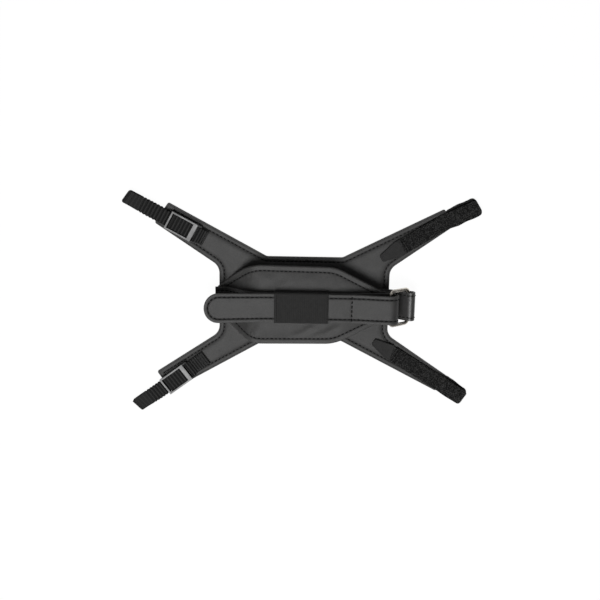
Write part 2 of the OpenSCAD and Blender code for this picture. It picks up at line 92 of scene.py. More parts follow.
def add_lamp(name, azimuth, elevation, distance, size, power):
    """Area light that looks at the origin; azimuth 0 stands on the -Y side."""
    a, e = math.radians(azimuth), math.radians(elevation)
    away = Vector((math.sin(a) * math.cos(e), -math.cos(a) * math.cos(e), math.sin(e)))
    data = bpy.data.lights.new(name, "AREA")
    data.shape = "DISK"
    data.size = size
    data.energy = power
    lamp = bpy.data.objects.new(name, data)
    lamp.location = away * distance
    lamp.rotation_mode = "QUATERNION"
    lamp.rotation_quaternion = away.to_track_quat("Z", "Y")
    bpy.context.scene.collection.objects.link(lamp)


class Surface:
    """A Principled material and short-hand for the nodes that feed it."""

    def __init__(self, name, **sockets):
        self.material = bpy.data.materials.new(name)
        self.material.use_nodes = True
        self.tree = self.material.node_tree
        self.shader = self.tree.nodes["Principled BSDF"]
        self.set(**sockets)

    def set(self, **sockets):
        for socket, value in sockets.items():
            self.shader.inputs[socket.replace("_", " ")].default_value = value

    def add(self, kind, *inputs, **settings):
        node = self.tree.nodes.new("ShaderNode" + kind)
        for key, value in settings.items():
            setattr(node, key, value)
        for socket, value in zip(node.inputs, inputs):
            self.feed(socket, value)
        return node

    def feed(self, socket, value):
        if value is None:
            return
        if isinstance(value, bpy.types.Node):
            value = value.outputs[0]
        if isinstance(value, bpy.types.NodeSocket):
            self.tree.links.new(value, socket)
        else:
            socket.default_value = value

    def math(self, operation, *inputs):
        return self.add("Math", *inputs, operation=operation)

    def place(self, stretch=(1, 1, 1)):
        """The surface's own millimetre coordinates, which stay put when the piece bends."""
        own = self.add("Attribute", attribute_name="place", attribute_type="GEOMETRY")
        if stretch == (1, 1, 1):
            return own.outputs["Vector"]
        return self.add("Mapping", own.outputs["Vector"], None, None, stretch).outputs[0]

    def attribute(self, name):
        found = self.add("Attribute", attribute_name=name, attribute_type="GEOMETRY")
        return found.outputs["Fac"]

    def noise(self, scale, detail=3.0, rough=0.55, stretch=(1, 1, 1)):
        node = self.add("TexNoise", self.place(stretch))
        node.inputs["Scale"].default_value = scale
        node.inputs["Detail"].default_value = detail
        node.inputs["Roughness"].default_value = rough
        return node.outputs["Fac"]

    def cells(self, size, feature="F1", smooth=None):
        node = self.add("TexVoronoi", self.place(), feature=feature)
        node.inputs["Scale"].default_value = 1 / size
        if smooth is not None:
            node.inputs["Smoothness"].default_value = smooth
        return node.outputs["Distance"]

    def stripes(self, axis, pitch, shift=0.0):
        """Sine stripes of that pitch across one axis, from 0 to 1."""
        split = self.add("SeparateXYZ", self.place())
        turned = self.math("MULTIPLY_ADD", split.outputs[axis], 2 * math.pi / pitch, shift)
        return self.math("MULTIPLY_ADD", self.math("SINE", turned), 0.5, 0.5)

    def ramp(self, value, low, high, to_low=0.0, to_high=1.0):
        node = self.add("MapRange", value, low, high, to_low, to_high)
        node.clamp = True
        return node

    def mix(self, factor, dark, light):
        node = self.add("Mix", data_type="RGBA")
        self.feed(node.inputs["Factor"], factor)
        self.feed(node.inputs[6], dark)
        self.feed(node.inputs[7], light)
        return node.outputs[2]

    def total(self, *weighted):
        """Sum of (value, weight) pairs."""
        out = None
        for value, weight in weighted:
            out = self.math("MULTIPLY_ADD", value, weight, 0.0 if out is None else out)
        return out

    def bump(self, height, depth, strength=1.0):
        node = self.add("Bump")
        node.inputs["Strength"].default_value = strength
        node.inputs["Distance"].default_value = depth * MM
        self.feed(node.inputs["Height"], height)
        self.feed(self.shader.inputs["Normal"], node.outputs[0])

    def colour(self, value):
        self.feed(self.shader.inputs["Base Color"], value)

    def roughness(self, value):
        self.feed(self.shader.inputs["Roughness"], value)


def grey(value, warm=0.0):
    return (value * (1 + warm), value, value * (1 - warm), 1.0)


WORLD_LEVEL = 0.12
FLOOR_GLOW = 1.02
FLOOR_SHARE = 0.94  # how much of the floor's white is glow, as the camera sees it


def add_stage():
    """Pale floor that reads as white, keeps the object's shadow, and shows white to reflections."""
    floor = Surface("floor", Base_Color=grey(0.85), Roughness=0.9, Specular_IOR_Level=0.1)
    light_path = floor.add("LightPath")
    seen = floor.math("MAXIMUM", light_path.outputs["Is Camera Ray"],
                      light_path.outputs["Is Glossy Ray"])
    seen = floor.math("MAXIMUM", seen, light_path.outputs["Is Transmission Ray"])
    glow = floor.add("Emission", grey(1.0), FLOOR_GLOW)
    share = floor.math("MULTIPLY", seen, FLOOR_SHARE)
    mixed = floor.add("MixShader", share, floor.shader.outputs[0], glow.outputs[0])
    output = floor.tree.nodes["Material Output"]
    floor.feed(output.inputs["Surface"], mixed.outputs[0])
    bpy.ops.mesh.primitive_plane_add(size=8, location=(0, 0, -0.35 * MM))
    plane = bpy.context.object
    plane.name = "studio_floor"
    plane.data.materials.append(floor.material)

    world = bpy.data.worlds.new("studio")
    bpy.context.scene.world = world
    world.use_nodes = True
    tree = world.node_tree
    background = tree.nodes["Background"]
    paths = tree.nodes.new("ShaderNodeLightPath")
    seen = tree.nodes.new("ShaderNodeMath")
    seen.operation = "MAXIMUM"
    tree.links.new(paths.outputs["Is Camera Ray"], seen.inputs[0])
    tree.links.new(paths.outputs["Is Transmission Ray"], seen.inputs[1])
    level = tree.nodes.new("ShaderNodeMapRange")
    level.inputs["To Min"].default_value = WORLD_LEVEL
    level.inputs["To Max"].default_value = 1.0
    tree.links.new(seen.outputs[0], level.inputs["Value"])
    tree.links.new(level.outputs[0], background.inputs["Strength"])
    background.inputs["Color"].default_value = grey(1.0)


def add_lights():
    add_lamp("key", -22, 72, 1.6, 0.85, 25)
    add_lamp("side", 75, 40, 1.6, 0.6, 0.8)
    add_lamp("back", 190, 50, 1.8, 0.8, 1.2)


# ---------- reading the frame ----------


def carried(co, place):
    """Points moved by a matrix."""
    matrix = np.array(place)
    return co @ matrix[:3, :3].T + matrix[:3, 3]


def points(node, place=None):
    """A CAD node's vertices in millimetres, seen from a local frame if one is given."""
    co = np.array([v.co for v in frame["nodes"][node].data.vertices], float) / MM
    return co if place is None else carried(co, place.inverted())


def extent(node, place=None):
    co = points(node, place)
    return co.min(0), co.max(0)


def loops(node, towards, axes, place=None):
    """Border loops of the node's faces that look along a direction, on two axes."""
    co = points(node, place)
    rot = np.eye(3) if place is None else np.array(place.inverted())[:3, :3]
    edges = {}
    for face in frame["nodes"][node].data.polygons:
        if (rot @ np.array(face.normal)) @ np.array(towards, float) < 0.3:
            continue
        keys = [tuple(np.round(co[v][list(axes)], 2)) for v in face.vertices]
        for a, b in zip(keys, keys[1:] + keys[:1]):
            if (b, a) in edges:
                del edges[(b, a)]
            elif a != b:
                edges[(a, b)] = True
    following = {a: b for a, b in edges}
    found = []
    while following:
        first, point = following.popitem()
        loop = [first]
        while point != first and point in following:
            loop.append(point)
            point = following.pop(point)
        found.append(np.array(loop))
    return sorted(found, key=len, reverse=True)


def area(loop):
    x, y = loop[:, 0], loop[:, 1]
    return 0.5 * float(np.sum(x * np.roll(y, -1) - y * np.roll(x, -1)))


def sharp_corners(loop, shortest=2.2):
    """The loop's straight sides, met at sharp corners: [x, y, radius of the rounding there]."""
    if area(loop) < 0:
        loop = loop[::-1]
    count = len(loop)
    heading = [unit(loop[(i + 1) % count] - loop[i]) for i in range(count)]
    kept = [i for i in range(count)
            if abs(cross2(heading[i - 1], heading[i])) > 0.006 or heading[i - 1] @ heading[i] < 0]
    merged = loop[kept]
    sides = []
    for a, b in zip(merged, np.roll(merged, -1, axis=0)):
        if np.linalg.norm(b - a) > shortest:
            sides.append((a, b))
    out = []
    for (a, b), (c, d) in zip(sides, sides[1:] + sides[:1]):
        u, v = unit(b - a), unit(d - c)
        turn = cross2(u, v)
        corner = b + u * (cross2(c - b, v) / turn)
        half = math.atan2(abs(turn), u @ v) / 2
        out.append((corner[0], corner[1], float(np.linalg.norm(corner - b)) / math.tan(half)))
    return out


def band_centre(node, place=None):
    """Middle line, in X and Z, of a CAD band of even thickness, and that thickness."""
    loop = loops(node, (0, 1, 0), (0, 2), place)[0]
    count = len(loop)
    best = None
    for k in range(count):
        turned = np.roll(loop, -k, axis=0)
        left, right = turned[:count // 2], turned[::-1][:count // 2]
        gaps = np.linalg.norm(left - right, axis=1)
        if best is None or gaps.max() < best[0]:
            best = (gaps.max(), (left + right) / 2, float(np.median(gaps)))
    return best[1], best[2]


def mount_frame(name):
    """Local frame of a corner strap: X outwards from the axis of its loop, Y across it, Z up."""
    mount = MOUNTS[name]
    origin = Vector(mount["pos_m"]) / MM
    out = Vector(mount["axis"]).cross(Vector((0, 0, 1))).normalized()
    across = Vector((0, 0, 1)).cross(out)
    axes = Matrix((out, across, Vector((0, 0, 1)))).transposed().to_4x4()
    return Matrix.Translation((origin.x, origin.y, 0)) @ axes


# ---------- outlines ----------


def unit(v):
    return v / max(float(np.linalg.norm(v)), 1e-12)


def cross2(a, b):
    return a[0] * b[1] - a[1] * b[0]


def smooth(t):
    t = np.clip(t, 0.0, 1.0)
    return t * t * (3 - 2 * t)


def outline(corners, inset=0.0, step=1.6):
    """Evenly stepped outline of rounded corners, moved inwards."""
    sharp = np.array([c[:2] for c in corners], float)
    count = len(sharp)
    moved, radii = [], []
    for i in range(count):
        before = unit(sharp[i] - sharp[i - 1])
        after = unit(sharp[(i + 1) % count] - sharp[i])
        turn = cross2(before, after)
        moved.append(sharp[i] + (after - before) * inset / turn)
        radii.append(max(0.25, corners[i][2] - math.copysign(inset, turn)))
    parts = []
    for i in range(count):
        here, before, after = moved[i], moved[i - 1], moved[(i + 1) % count]
        to_a, to_c = unit(before - here), unit(after - here)
        half = math.acos(max(-1.0, min(1.0, to_a @ to_c))) / 2
        centre = here + unit(to_a + to_c) * radii[i] / math.sin(half)
        start = here + to_a * radii[i] / math.tan(half) - centre
        angle = math.copysign(math.pi - 2 * half, cross2(here - before, after - here))
        steps = max(2, math.ceil(abs(angle) / 0.22), math.ceil(abs(angle) * radii[i] / step))
        turns = angle * np.arange(steps + 1) / steps
        cos, sin = np.cos(turns), np.sin(turns)
        parts.append(centre + np.stack(
            [start[0] * cos - start[1] * sin, start[0] * sin + start[1] * cos], axis=1))
    out = []
    for i, arc in enumerate(parts):
        out.extend(arc)
        nxt = parts[(i + 1) % count][0]
        gap = float(np.linalg.norm(nxt - arc[-1]))
        steps = max(1, round(gap / step))
        out.extend(arc[-1] + (nxt - arc[-1]) * k / steps for k in range(1, steps))
    return np.array(out)


def edge_distance(pts, loop):
    """How far each point lies inside a closed outline; below zero outside it."""
    after = np.roll(loop, -1, axis=0)
    span = after - loop
    length = np.maximum((span ** 2).sum(1), 1e-12)
    best = np.full(len(pts), 1e9)
    crossings = np.zeros(len(pts), int)
    for p, q, d, n in zip(loop, after, span, length):
        t = np.clip(((pts - p) @ d) / n, 0, 1)
        best = np.minimum(best, np.linalg.norm(pts - (p + t[:, None] * d), axis=1))
        if p[1] != q[1]:
            above = (p[1] > pts[:, 1]) != (q[1] > pts[:, 1])
            crossings += above & (pts[:, 0] < d[0] * (pts[:, 1] - p[1]) / d[1] + p[0])
    return np.where(crossings % 2 == 1, best, -best)


def fill(corners, insets, grid, step=1.6):
    """Points and triangles inside an outline: a ring at each inset, then a square grid."""
    rings = [outline(corners, inset, step) for inset in insets]
    low, high = rings[-1].min(0), rings[-1].max(0)
    xs = np.arange(low[0] + grid / 2, high[0], grid)
    ys = np.arange(low[1] + grid / 2, high[1], grid)
    inner = np.stack(np.meshgrid(xs, ys), axis=-1).reshape(-1, 2)
    inner = inner[edge_distance(inner, rings[-1]) > grid * 0.55]
    pts = np.concatenate(rings + [inner])
    edges, start = [], 0
    for ring in rings:
        count = len(ring)
        edges += [(start + i, start + (i + 1) % count) for i in range(count)]
        start += count
    found = geometry.delaunay_2d_cdt([Vector(p) for p in pts], edges, [], 1, 1e-4)
    pts = np.array(found[0], float)
    sources = found[3]
    border = {}
    for i, source in enumerate(sources):
        for s in source:
            if s < len(rings[0]):
                border[s] = i
    rim = [border[i] for i in range(len(rings[0]))]
    return pts, [tuple(f) for f in found[2]], rim, edge_distance(pts, rings[0])


# ---------- meshes ----------


def make_piece(name, co, faces, material, place=None, own=None, edge=None, flat_angle=50,
               seam=None, back=None):
    """Mesh object from millimetre points.

    own is the surface's own coordinates, edge its nearness to the rim (painted paler as wear and
    as a painted edge highlight), seam its nearness to a stitch line, and back a second material
    with the test that picks its faces.
    """
    co = np.array(co, float)
    own = co if own is None else np.array(own, float)
    if place is not None:
        co = carried(co, place)
    mesh = bpy.data.meshes.new(name)
    mesh.from_pydata((co * MM).tolist(), [], faces)
    spot = mesh.attributes.new("place", "FLOAT_VECTOR", "POINT")
    spot.data.foreach_set("vector", own.astype(np.float32).ravel())
    wear_and_highlight = mesh.attributes.new("edge", "FLOAT", "POINT")
    if edge is not None:
        wear_and_highlight.data.foreach_set("value", np.array(edge, np.float32))
    sewn = mesh.attributes.new("seam", "FLOAT", "POINT")
    if seam is not None:
        sewn.data.foreach_set("value", np.array(seam, np.float32))
    mesh.materials.append(material)
    if back is not None:
        mesh.materials.append(back[0])
        mesh.polygons.foreach_set("material_index", [int(back[1](f)) for f in faces])
    mesh.polygons.foreach_set("use_smooth", [True] * len(mesh.polygons))
    mesh.validate()
    obj = bpy.data.objects.new(name, mesh)
    bpy.context.scene.collection.objects.link(obj)
    tidy_mesh(mesh, flat_angle)
    return obj


def tidy_mesh(mesh, flat_angle):
    """Joins triangle pairs into quads, turns the faces outwards and marks the hard edges."""
    bm = bmesh.new()
    bm.from_mesh(mesh)
    bmesh.ops.join_triangles(bm, faces=bm.faces[:], angle_face_threshold=0.35,
                             angle_shape_threshold=0.7)
    bmesh.ops.recalc_face_normals(bm, faces=bm.faces[:])
    for e in bm.edges:
        if len(e.link_faces) == 2:
            e.smooth = e.calc_face_angle(0.0) < math.radians(flat_angle)
    bm.to_mesh(mesh)
    bm.free()


def near_seam(d, at):
    return None if at is None else np.exp(-((d - at) / 0.6) ** 2)


def skin(name, filled, top, bottom, material, place=None, wear_and_highlight=0.9, seam=None):
    """Closed sheet over a filled plan, between two height functions of x, y and edge distance."""
    pts, tris, rim, depth = filled
    x, y = pts[:, 0], pts[:, 1]
    high, low = top(x, y, depth), bottom(x, y, depth)
    co = np.concatenate([np.stack([x, y, high], 1), np.stack([x, y, low], 1)])
    count = len(pts)
    faces = list(tris) + [tuple(i + count for i in reversed(t)) for t in tris]
    faces += [(a + count, b + count, b, a) for a, b in zip(rim, rim[1:] + rim[:1])]
    depth = np.tile(depth, 2)
    edge = np.exp(-np.maximum(depth, 0) / wear_and_highlight)
    return make_piece(name, co, faces, material, place, co, edge, seam=near_seam(depth, seam))


def lengths_along(path):
    return np.concatenate([[0], np.cumsum(np.linalg.norm(np.diff(path, axis=0), axis=1))])


def resample(path, step):
    """Evenly spaced points along a line of any dimension."""
    path = np.array(path, float)
    lengths = lengths_along(path)
    count = max(2, round(lengths[-1] / step) + 1)
    at = np.linspace(0, lengths[-1], count)
    return np.stack([np.interp(at, lengths, path[:, k]) for k in range(path.shape[1])], axis=1)


def relax(path, passes):
    """Softens a line's bends and keeps its ends."""
    path = path.copy()
    for _ in range(passes):
        path[1:-1] = (path[:-2] + 2 * path[1:-1] + path[2:]) / 4
    return path


def normals_of(path):
    tangent = np.gradient(path, axis=0)
    tangent /= np.maximum(np.linalg.norm(tangent, axis=1), 1e-9)[:, None]
    return np.stack([-tangent[:, 1], tangent[:, 0]], axis=1)


def ribbon(name, path, half_w, depths, upper, lower, material, place=None, wear_and_highlight=0.9,
           seam=None, corner=0.0, inside=None):
    """Band whose middle follows a path in X and Z, with Y across it.

    depths are distances from the band's edge, upper and lower its half thicknesses as functions
    of the length along it, the distance from its edge and the place across it. corner rounds the
    plan where the band turns back, and inside is the material of its upper side.
    """
    path = np.array(path, float)
    normal = normals_of(path)
    along = lengths_along(path)
    widths = half_w(along) if callable(half_w) else np.full(len(path), float(half_w))
    if corner:
        widths = widths - rounding(path[:, 0].max() - path[:, 0], corner)
    depths = np.array([d for d in depths if d < widths.max() - 0.05])
    side = np.concatenate([depths, [widths.max()], depths[::-1]])
    sign = np.concatenate([-np.ones(len(depths)), [0], np.ones(len(depths))])
    cols = len(side)
    reach = widths.max() - side
    u = np.repeat(along[:, None], cols, 1)
    d = np.repeat(side[None, :], len(path), 0)
    s = sign * reach * (widths / widths.max())[:, None]
    up, down = upper(u, d, s), lower(u, d, s)
    px, pz = path[:, 0][:, None], path[:, 1][:, None]
    nx, nz = normal[:, 0][:, None], normal[:, 1][:, None]
    top = np.stack([px + nx * up, s, pz + nz * up], -1)
    low = np.stack([px - nx * down, s, pz - nz * down], -1)
    rows = len(path)
    co = np.concatenate([top.reshape(-1, 3), low.reshape(-1, 3)])
    faces = []
    shift = rows * cols
    for i in range(rows - 1):
        for j in range(cols - 1):
            a, b = i * cols + j, (i + 1) * cols + j
            faces.append((a, b, b + 1, a + 1))
            faces.append((a + shift, a + shift + 1, b + shift + 1, b + shift))
        for j in (0, cols - 1):
            a, b = i * cols + j, (i + 1) * cols + j
            faces.append((a, a + shift, b + shift, b))
    for i in (0, rows - 1):
        for j in range(cols - 1):
            a = i * cols + j
            faces.append((a, a + 1, a + 1 + shift, a + shift))
    own = np.stack([u, s, up], -1).reshape(-1, 3)
    under = np.stack([u, s, -down], -1).reshape(-1, 3)
    edge = np.tile(np.exp(-d / wear_and_highlight).ravel(), 2)
    back = inside and (inside, lambda face: max(face) < shift)
    if callable(seam):
        sewn = np.tile(seam(u).ravel(), 2)
    else:
        sewn = None if seam is None else np.tile(near_seam(d, seam).ravel(), 2)
    return make_piece(name, co, faces, material, place, np.concatenate([own, under]), edge,
                      seam=sewn, back=back)


def read_points(mesh):
    """A mesh's vertices in millimetres."""
    co = np.zeros(len(mesh.vertices) * 3)
    mesh.vertices.foreach_get("co", co)
    return co.reshape(-1, 3) / MM


def write_points(mesh, co):
    mesh.vertices.foreach_set("co", (co * MM).ravel())
    mesh.update()


def nudge(obj, place, move):
    """Moves a piece's points by a function of their millimetre places in a local frame."""
    local = carried(read_points(obj.data), place.inverted())
    write_points(obj.data, carried(local + move(local), place))


def stitch_rows(name, rows, material, place=None, pitch=4.2, length=3.2, thick=1.0, sink=0.2):
    """Stitches along lines of (points, normals): short threads that dive in at both ends."""
    sides, co, own, faces = 6, [], [], []
    stations = np.linspace(-1, 1, 7)
    for line, normals in rows:
        line, normals = np.array(line, float), np.array(normals, float)
        whole = float(np.linalg.norm(np.diff(line, axis=0), axis=1).sum())
        count = max(1, round(whole / pitch))
        both = resample(np.concatenate([line, normals], axis=1), whole / (count * 8))
        both = np.stack([np.interp(np.linspace(0, 1, count * 8 + 1),
                                   np.linspace(0, 1, len(both)), both[:, k])
                         for k in range(6)], axis=1)
        at, up = both[:, :3], both[:, 3:]
        for i in range(count):
            middle = at[i * 8 + 4]
            n = unit(up[i * 8 + 4])
            t = unit(at[i * 8 + 6] - at[i * 8 + 2])
            t = unit(t - n * (t @ n))
            b = np.cross(n, t)
            t = unit(t + b * rng.uniform(-0.05, 0.05))
            b = np.cross(n, t)
            half = length / 2 * rng.uniform(0.94, 1.05)
            base = len(co)
            for k in stations:
                rise = thick * (0.42 - sink - 0.95 * abs(k) ** 3.2)
                girth = thick / 2 * (1 - 0.28 * k ** 4)
                for m in range(sides):
                    angle = 2 * math.pi * m / sides
                    co.append(middle + t * half * k + n * (rise + girth * math.sin(angle))
                              + b * girth * 1.1 * math.cos(angle))
                    own.append((half * k, angle, i))
            for r in range(len(stations) - 1):
                for m in range(sides):
                    a, c = base + r * sides + m, base + r * sides + (m + 1) % sides
                    faces.append((a, c, c + sides, a + sides))
            last = base + (len(stations) - 1) * sides
            faces.append(tuple(base + m for m in reversed(range(sides))))
            faces.append(tuple(last + m for m in range(sides)))
    obj = make_piece(name, co, faces, material, place, own, flat_angle=80)
    return obj


def seam_line(corners):
    """Closed line of the stitches along an outline."""
    line = outline(corners, STITCH_IN, 0.8)
    return np.concatenate([line, line[:1]])


def level_row(x, y, z):
    """Stitch line on a level face, with its upward normals."""
    line = np.stack(np.broadcast_arrays(np.asarray(x, float), y, z), 1)
    return line, np.tile([0, 0, 1], (len(line), 1))


def groove(d, at, depth, width):
    return depth * np.exp(-((d - at) / width) ** 2)


def rounding(d, r):
    """How far a rounded edge of that radius lies below the face, at a distance from the edge."""
    k = np.clip(1 - d / r, 0, 1)
    return r * (1 - np.sqrt(np.maximum(0, 1 - k * k)))


def wave(x, y, size, seed=0.0):
    """Smooth noise between -1 and 1, for the slack in a soft surface."""
    return np.array([noise.noise(Vector((a / size, b / size, seed)))
                     for a, b in zip(np.ravel(x), np.ravel(y))]).reshape(np.shape(x))


# ---------- materials ----------


def leather(name, level, grain, shine, gloss=0.28):
    """Pressed-grain leatherette: fine cells, a slow unevenness, smoother rubbed edges painted paler as wear and as
    a painted edge highlight, and painted shade along the stitch groove.
    """
    s = Surface(name)
    fine = s.cells(grain, "SMOOTH_F1", 0.4)
    creases = s.cells(grain * 1.9, "DISTANCE_TO_EDGE")
    cracks = s.ramp(creases, 0.0, 0.16)
    slow = s.noise(0.09, 2.0)
    mottle = s.noise(0.55, 4.0)
    rub_and_highlight = s.attribute("edge")
    worn_and_highlit = s.math("MULTIPLY", rub_and_highlight, s.ramp(mottle, 0.3, 0.7, 0.35, 1.0))
    tone = s.total((slow, 0.4), (mottle, 0.45), (cracks, 0.25))
    base = s.mix(s.ramp(tone, 0.35, 0.85), grey(level * 0.7, 0.01), grey(level * 1.3, 0.015))
    # Painted highlight and wear: the rims are painted paler, partly as rubbed wear and partly as a painted edge
    # highlight.
    base = s.mix(s.math("MULTIPLY", worn_and_highlit, 0.55), base, grey(level * 2.4, 0.02))
    # Painted shade: the seam attribute paints the leather darker along the stitch groove.
    s.colour(s.mix(s.math("MULTIPLY", s.attribute("seam"), 0.6), base, grey(level * 0.12)))
    s.roughness(s.ramp(s.total((mottle, 0.6), (fine, 0.4), (worn_and_highlit, -0.25)), 0.1, 0.8,
                       shine - 0.07, shine + 0.09))
    s.bump(s.total((cracks, 0.55), (fine, 0.45), (mottle, 0.35)), 0.09, 0.7)
    s.set(Specular_IOR_Level=gloss)
    return s.material


def woven(name, level, across, along, depth, rough=0.8, sheen=0.25, fuzz=0.25, gloss=0.15,
          ribs=None):
    """Plain weave: yarns across and along the strip, with loose fibres over them."""
    s = Surface(name)
    warp = s.stripes("Y", across)
    weft = s.stripes("X", along)
    shifted = s.stripes("X", along * 2, 1.3)
    weave = s.math("MAXIMUM", s.math("MULTIPLY", warp, shifted), s.math("MULTIPLY", weft, 0.8))
    fibre = s.noise(3.0, 5.0, 0.7, (0.35, 1.6, 1))
    uneven = s.noise(0.25, 2.0)
    tone = s.total((weave, 0.6), (fibre, 0.35), (uneven, 0.35))
    base = s.mix(s.ramp(tone, 0.25, 0.95), grey(level * 0.45), grey(level * 1.6, 0.01))
    if ribs:
        # Painted shade: the rib valleys are painted near black, and the seam attribute lifts this painted shade
        # where the ribs flatten out.
        crest = s.ramp(s.stripes("X", ribs, math.pi / 2), 0.3, 0.95)
        crest = s.math("MAXIMUM", crest, s.math("MULTIPLY", s.attribute("seam"), 0.45))
        base = s.mix(crest, grey(level * 0.12), base)
    s.colour(base)
    s.roughness(s.ramp(fibre, 0.2, 0.8, rough - 0.1, min(1.0, rough + 0.08)))
    s.bump(s.total((weave, 1.0), (fibre, fuzz)), depth, 0.9)
    s.set(Specular_IOR_Level=gloss, Sheen_Weight=sheen, Sheen_Roughness=0.6)
    return s.material


def pile(name, level, size, depth, sheen=0.5):
    """Napped loop surface: tangled short loops, with painted shade between the tufts."""
    s = Surface(name)
    tufts = s.cells(size, "SMOOTH_F1", 0.7)
    tangle = s.noise(2.6, 6.0, 0.75)
    slow = s.noise(0.3, 3.0)
    height = s.total((s.math("SUBTRACT", 1.0, tufts), 0.7), (tangle, 0.9))
    # Painted shade: the colour darkens where the tufts are low.
    s.colour(s.mix(s.ramp(s.total((height, 0.8), (slow, 0.4)), 0.8, 1.25), grey(level * 0.15),
                   grey(level * 2.6, 0.01)))
    s.roughness(s.ramp(tangle, 0.2, 0.8, 0.82, 0.98))
    s.bump(height, depth, 1.0)
    s.set(Specular_IOR_Level=0.1, Sheen_Weight=sheen, Sheen_Roughness=0.45)
    return s.material


def thread(name, level, gloss):
    """Twisted sewing thread."""
    s = Surface(name)
    split = s.add("SeparateXYZ", s.place())
    twist = s.math("MULTIPLY_ADD", split.outputs["X"], 9.0, split.outputs["Y"])
    ply = s.math("MULTIPLY_ADD", s.math("SINE", twist), 0.5, 0.5)
    s.colour(s.mix(ply, grey(level), grey(level * 3.5)))
    s.roughness(s.ramp(ply, 0, 1, 0.55, 0.75))
    s.bump(ply, 0.08)
    s.set(Specular_IOR_Level=gloss)
    return s.material


def moulded(name, level, rough):
    """Moulded plastic: a fine spark-eroded texture over a slow unevenness."""
    s = Surface(name)
    spark = s.add("TexNoise", s.add("TexCoord").outputs["Object"])
    spark.inputs["Scale"].default_value = 2600
    spark.inputs["Detail"].default_value = 3
    slow = s.add("TexNoise", s.add("TexCoord").outputs["Object"])
    slow.inputs["Scale"].default_value = 140
    tone = s.total((spark.outputs[0], 0.5), (slow.outputs[0], 0.5))
    s.colour(s.mix(s.ramp(tone, 0.3, 0.7), grey(level * 0.85), grey(level * 1.15)))
    s.roughness(s.ramp(slow.outputs[0], 0.3, 0.7, rough - 0.05, rough + 0.07))
    s.bump(spark.outputs[0], 0.03, 0.5)
    return s.material


def nickel():
    """Plated wire: polished, with fine drawing lines and a faint cloudiness."""
    s = Surface("nickel", Metallic=1.0)
    where = s.add("TexCoord").outputs["Object"]
    cloud = s.add("TexNoise", where)
    cloud.inputs["Scale"].default_value = 160
    lines = s.add("TexNoise", s.add("Mapping", where, None, None, (900, 60, 900)))
    lines.inputs["Scale"].default_value = 1.0
    lines.inputs["Detail"].default_value = 4
    s.colour(s.mix(s.ramp(cloud.outputs[0], 0.3, 0.7), (0.60, 0.55, 0.48, 1), (0.78, 0.74, 0.68, 1)))
    s.roughness(s.ramp(s.total((cloud.outputs[0], 0.5), (lines.outputs[0], 0.5)), 0.3, 0.7,
                       0.14, 0.3))
    s.bump(lines.outputs[0], 0.01, 0.4)
    return s.material


def foam():
    s = Surface("foam")
    pores = s.cells(0.7)
    s.colour(s.mix(s.ramp(pores, 0.2, 0.6), grey(0.04), grey(0.14)))
    s.roughness(s.ramp(pores, 0, 1, 0.85, 0.98))
    s.bump(pores, 0.3)
    return s.material


def board():
    s = Surface("board")
    fibre = s.noise(0.8, 6.0, 0.7, (0.3, 1, 1))
    s.colour(s.mix(s.ramp(fibre, 0.3, 0.7), grey(0.09, 0.05), grey(0.16, 0.05)))
    s.roughness(s.ramp(fibre, 0.3, 0.7, 0.75, 0.95))
    s.bump(fibre, 0.05)
    return s.material


LEATHER = leather("leather", 0.0345, 0.55, 0.52)
BELT_LEATHER = leather("belt_leather", 0.029, 0.5, 0.5)
TAB_LEATHER = leather("tab_leather", 0.024, 0.5, 0.36, 0.5)
LINING = woven("lining", 0.016, 0.7, 0.9, 0.12, 0.85, 0.1)
SPACER = woven("pad_mesh", 0.016, 1.5, 1.5, 0.35, 0.85, 0.2)
THREAD = thread("thread", 0.002, 0.12)
TAB_THREAD = thread("tab_thread", 0.016, 0.4)
RIB = 3.5  # pitch of the webbing's ribs
WEBBING = woven("webbing", 0.0155, 0.62, 0.9, 0.1, 0.65, 0.02, ribs=RIB)
TAB_WEBBING = woven("tab_webbing", 0.024, 0.62, 0.9, 0.16, 0.7, 0.02, ribs=RIB / 1.3)
ELASTIC = woven("elastic", 0.018, 1.1, 0.9, 0.3, 0.75, 0.05)
NAP = pile("strap_nap", 0.028, 1.1, 0.8, 0.12)
BACKING = woven("strap_backing", 0.012, 0.5, 0.5, 0.06, 0.6, 0.03)
PULL = woven("pull_tab", 0.02, 0.9, 0.8, 0.16, 0.68, 0.03)
LOOP_TAPE = pile("loop_tape", 0.01, 0.6, 0.4, 0.1)
HOOK_TAPE = woven("hook_tape", 0.01, 1.0, 1.0, 0.1, 0.5, 0.0)
METAL = nickel()
PLASTIC = moulded("buckle_plastic", 0.03, 0.36)
FOAM = foam()
BOARD = board()


# ---------- panel ----------

STITCH_IN = 5.0  # panel and pad stitches, from the edge
PANEL_INSETS = (0, 0.15, 0.45, 0.85, 1.3, 1.75, 2.3, 3.2, 4.2, 4.7, 5.0, 5.3, 5.8, 6.8, 8.2)
UPPER_WEB, LOWER_WEB = mount_frame("upper_web_loop"), mount_frame("lower_web_loop")
UPPER_STRAP, LOWER_STRAP = mount_frame("upper_strap_loop"), mount_frame("lower_strap_loop")
ARMS = {
    "upper_web_loop": UPPER_WEB, "lower_web_loop": LOWER_WEB,
    "upper_corner_strap": UPPER_STRAP, "lower_corner_strap": LOWER_STRAP,
}


def sewn_in(x, y, grow):
    """1 over the strips that are sewn into the arms' ends, falling to 0 beside them."""
    out = np.zeros(len(x))
    for node, place in ARMS.items():
        low, high = extent(node, place)
        back = np.array(place.inverted())
        u = back[0, 0] * x + back[0, 1] * y + back[0, 3]
        v = back[1, 0] * x + back[1, 1] * y + back[1, 3]
        along = smooth((u - low[0] + grow) / 1.6)
        beside = smooth((high[1] + grow - np.abs(v)) / 1.6)
        out = np.maximum(out, along * beside)
    return out


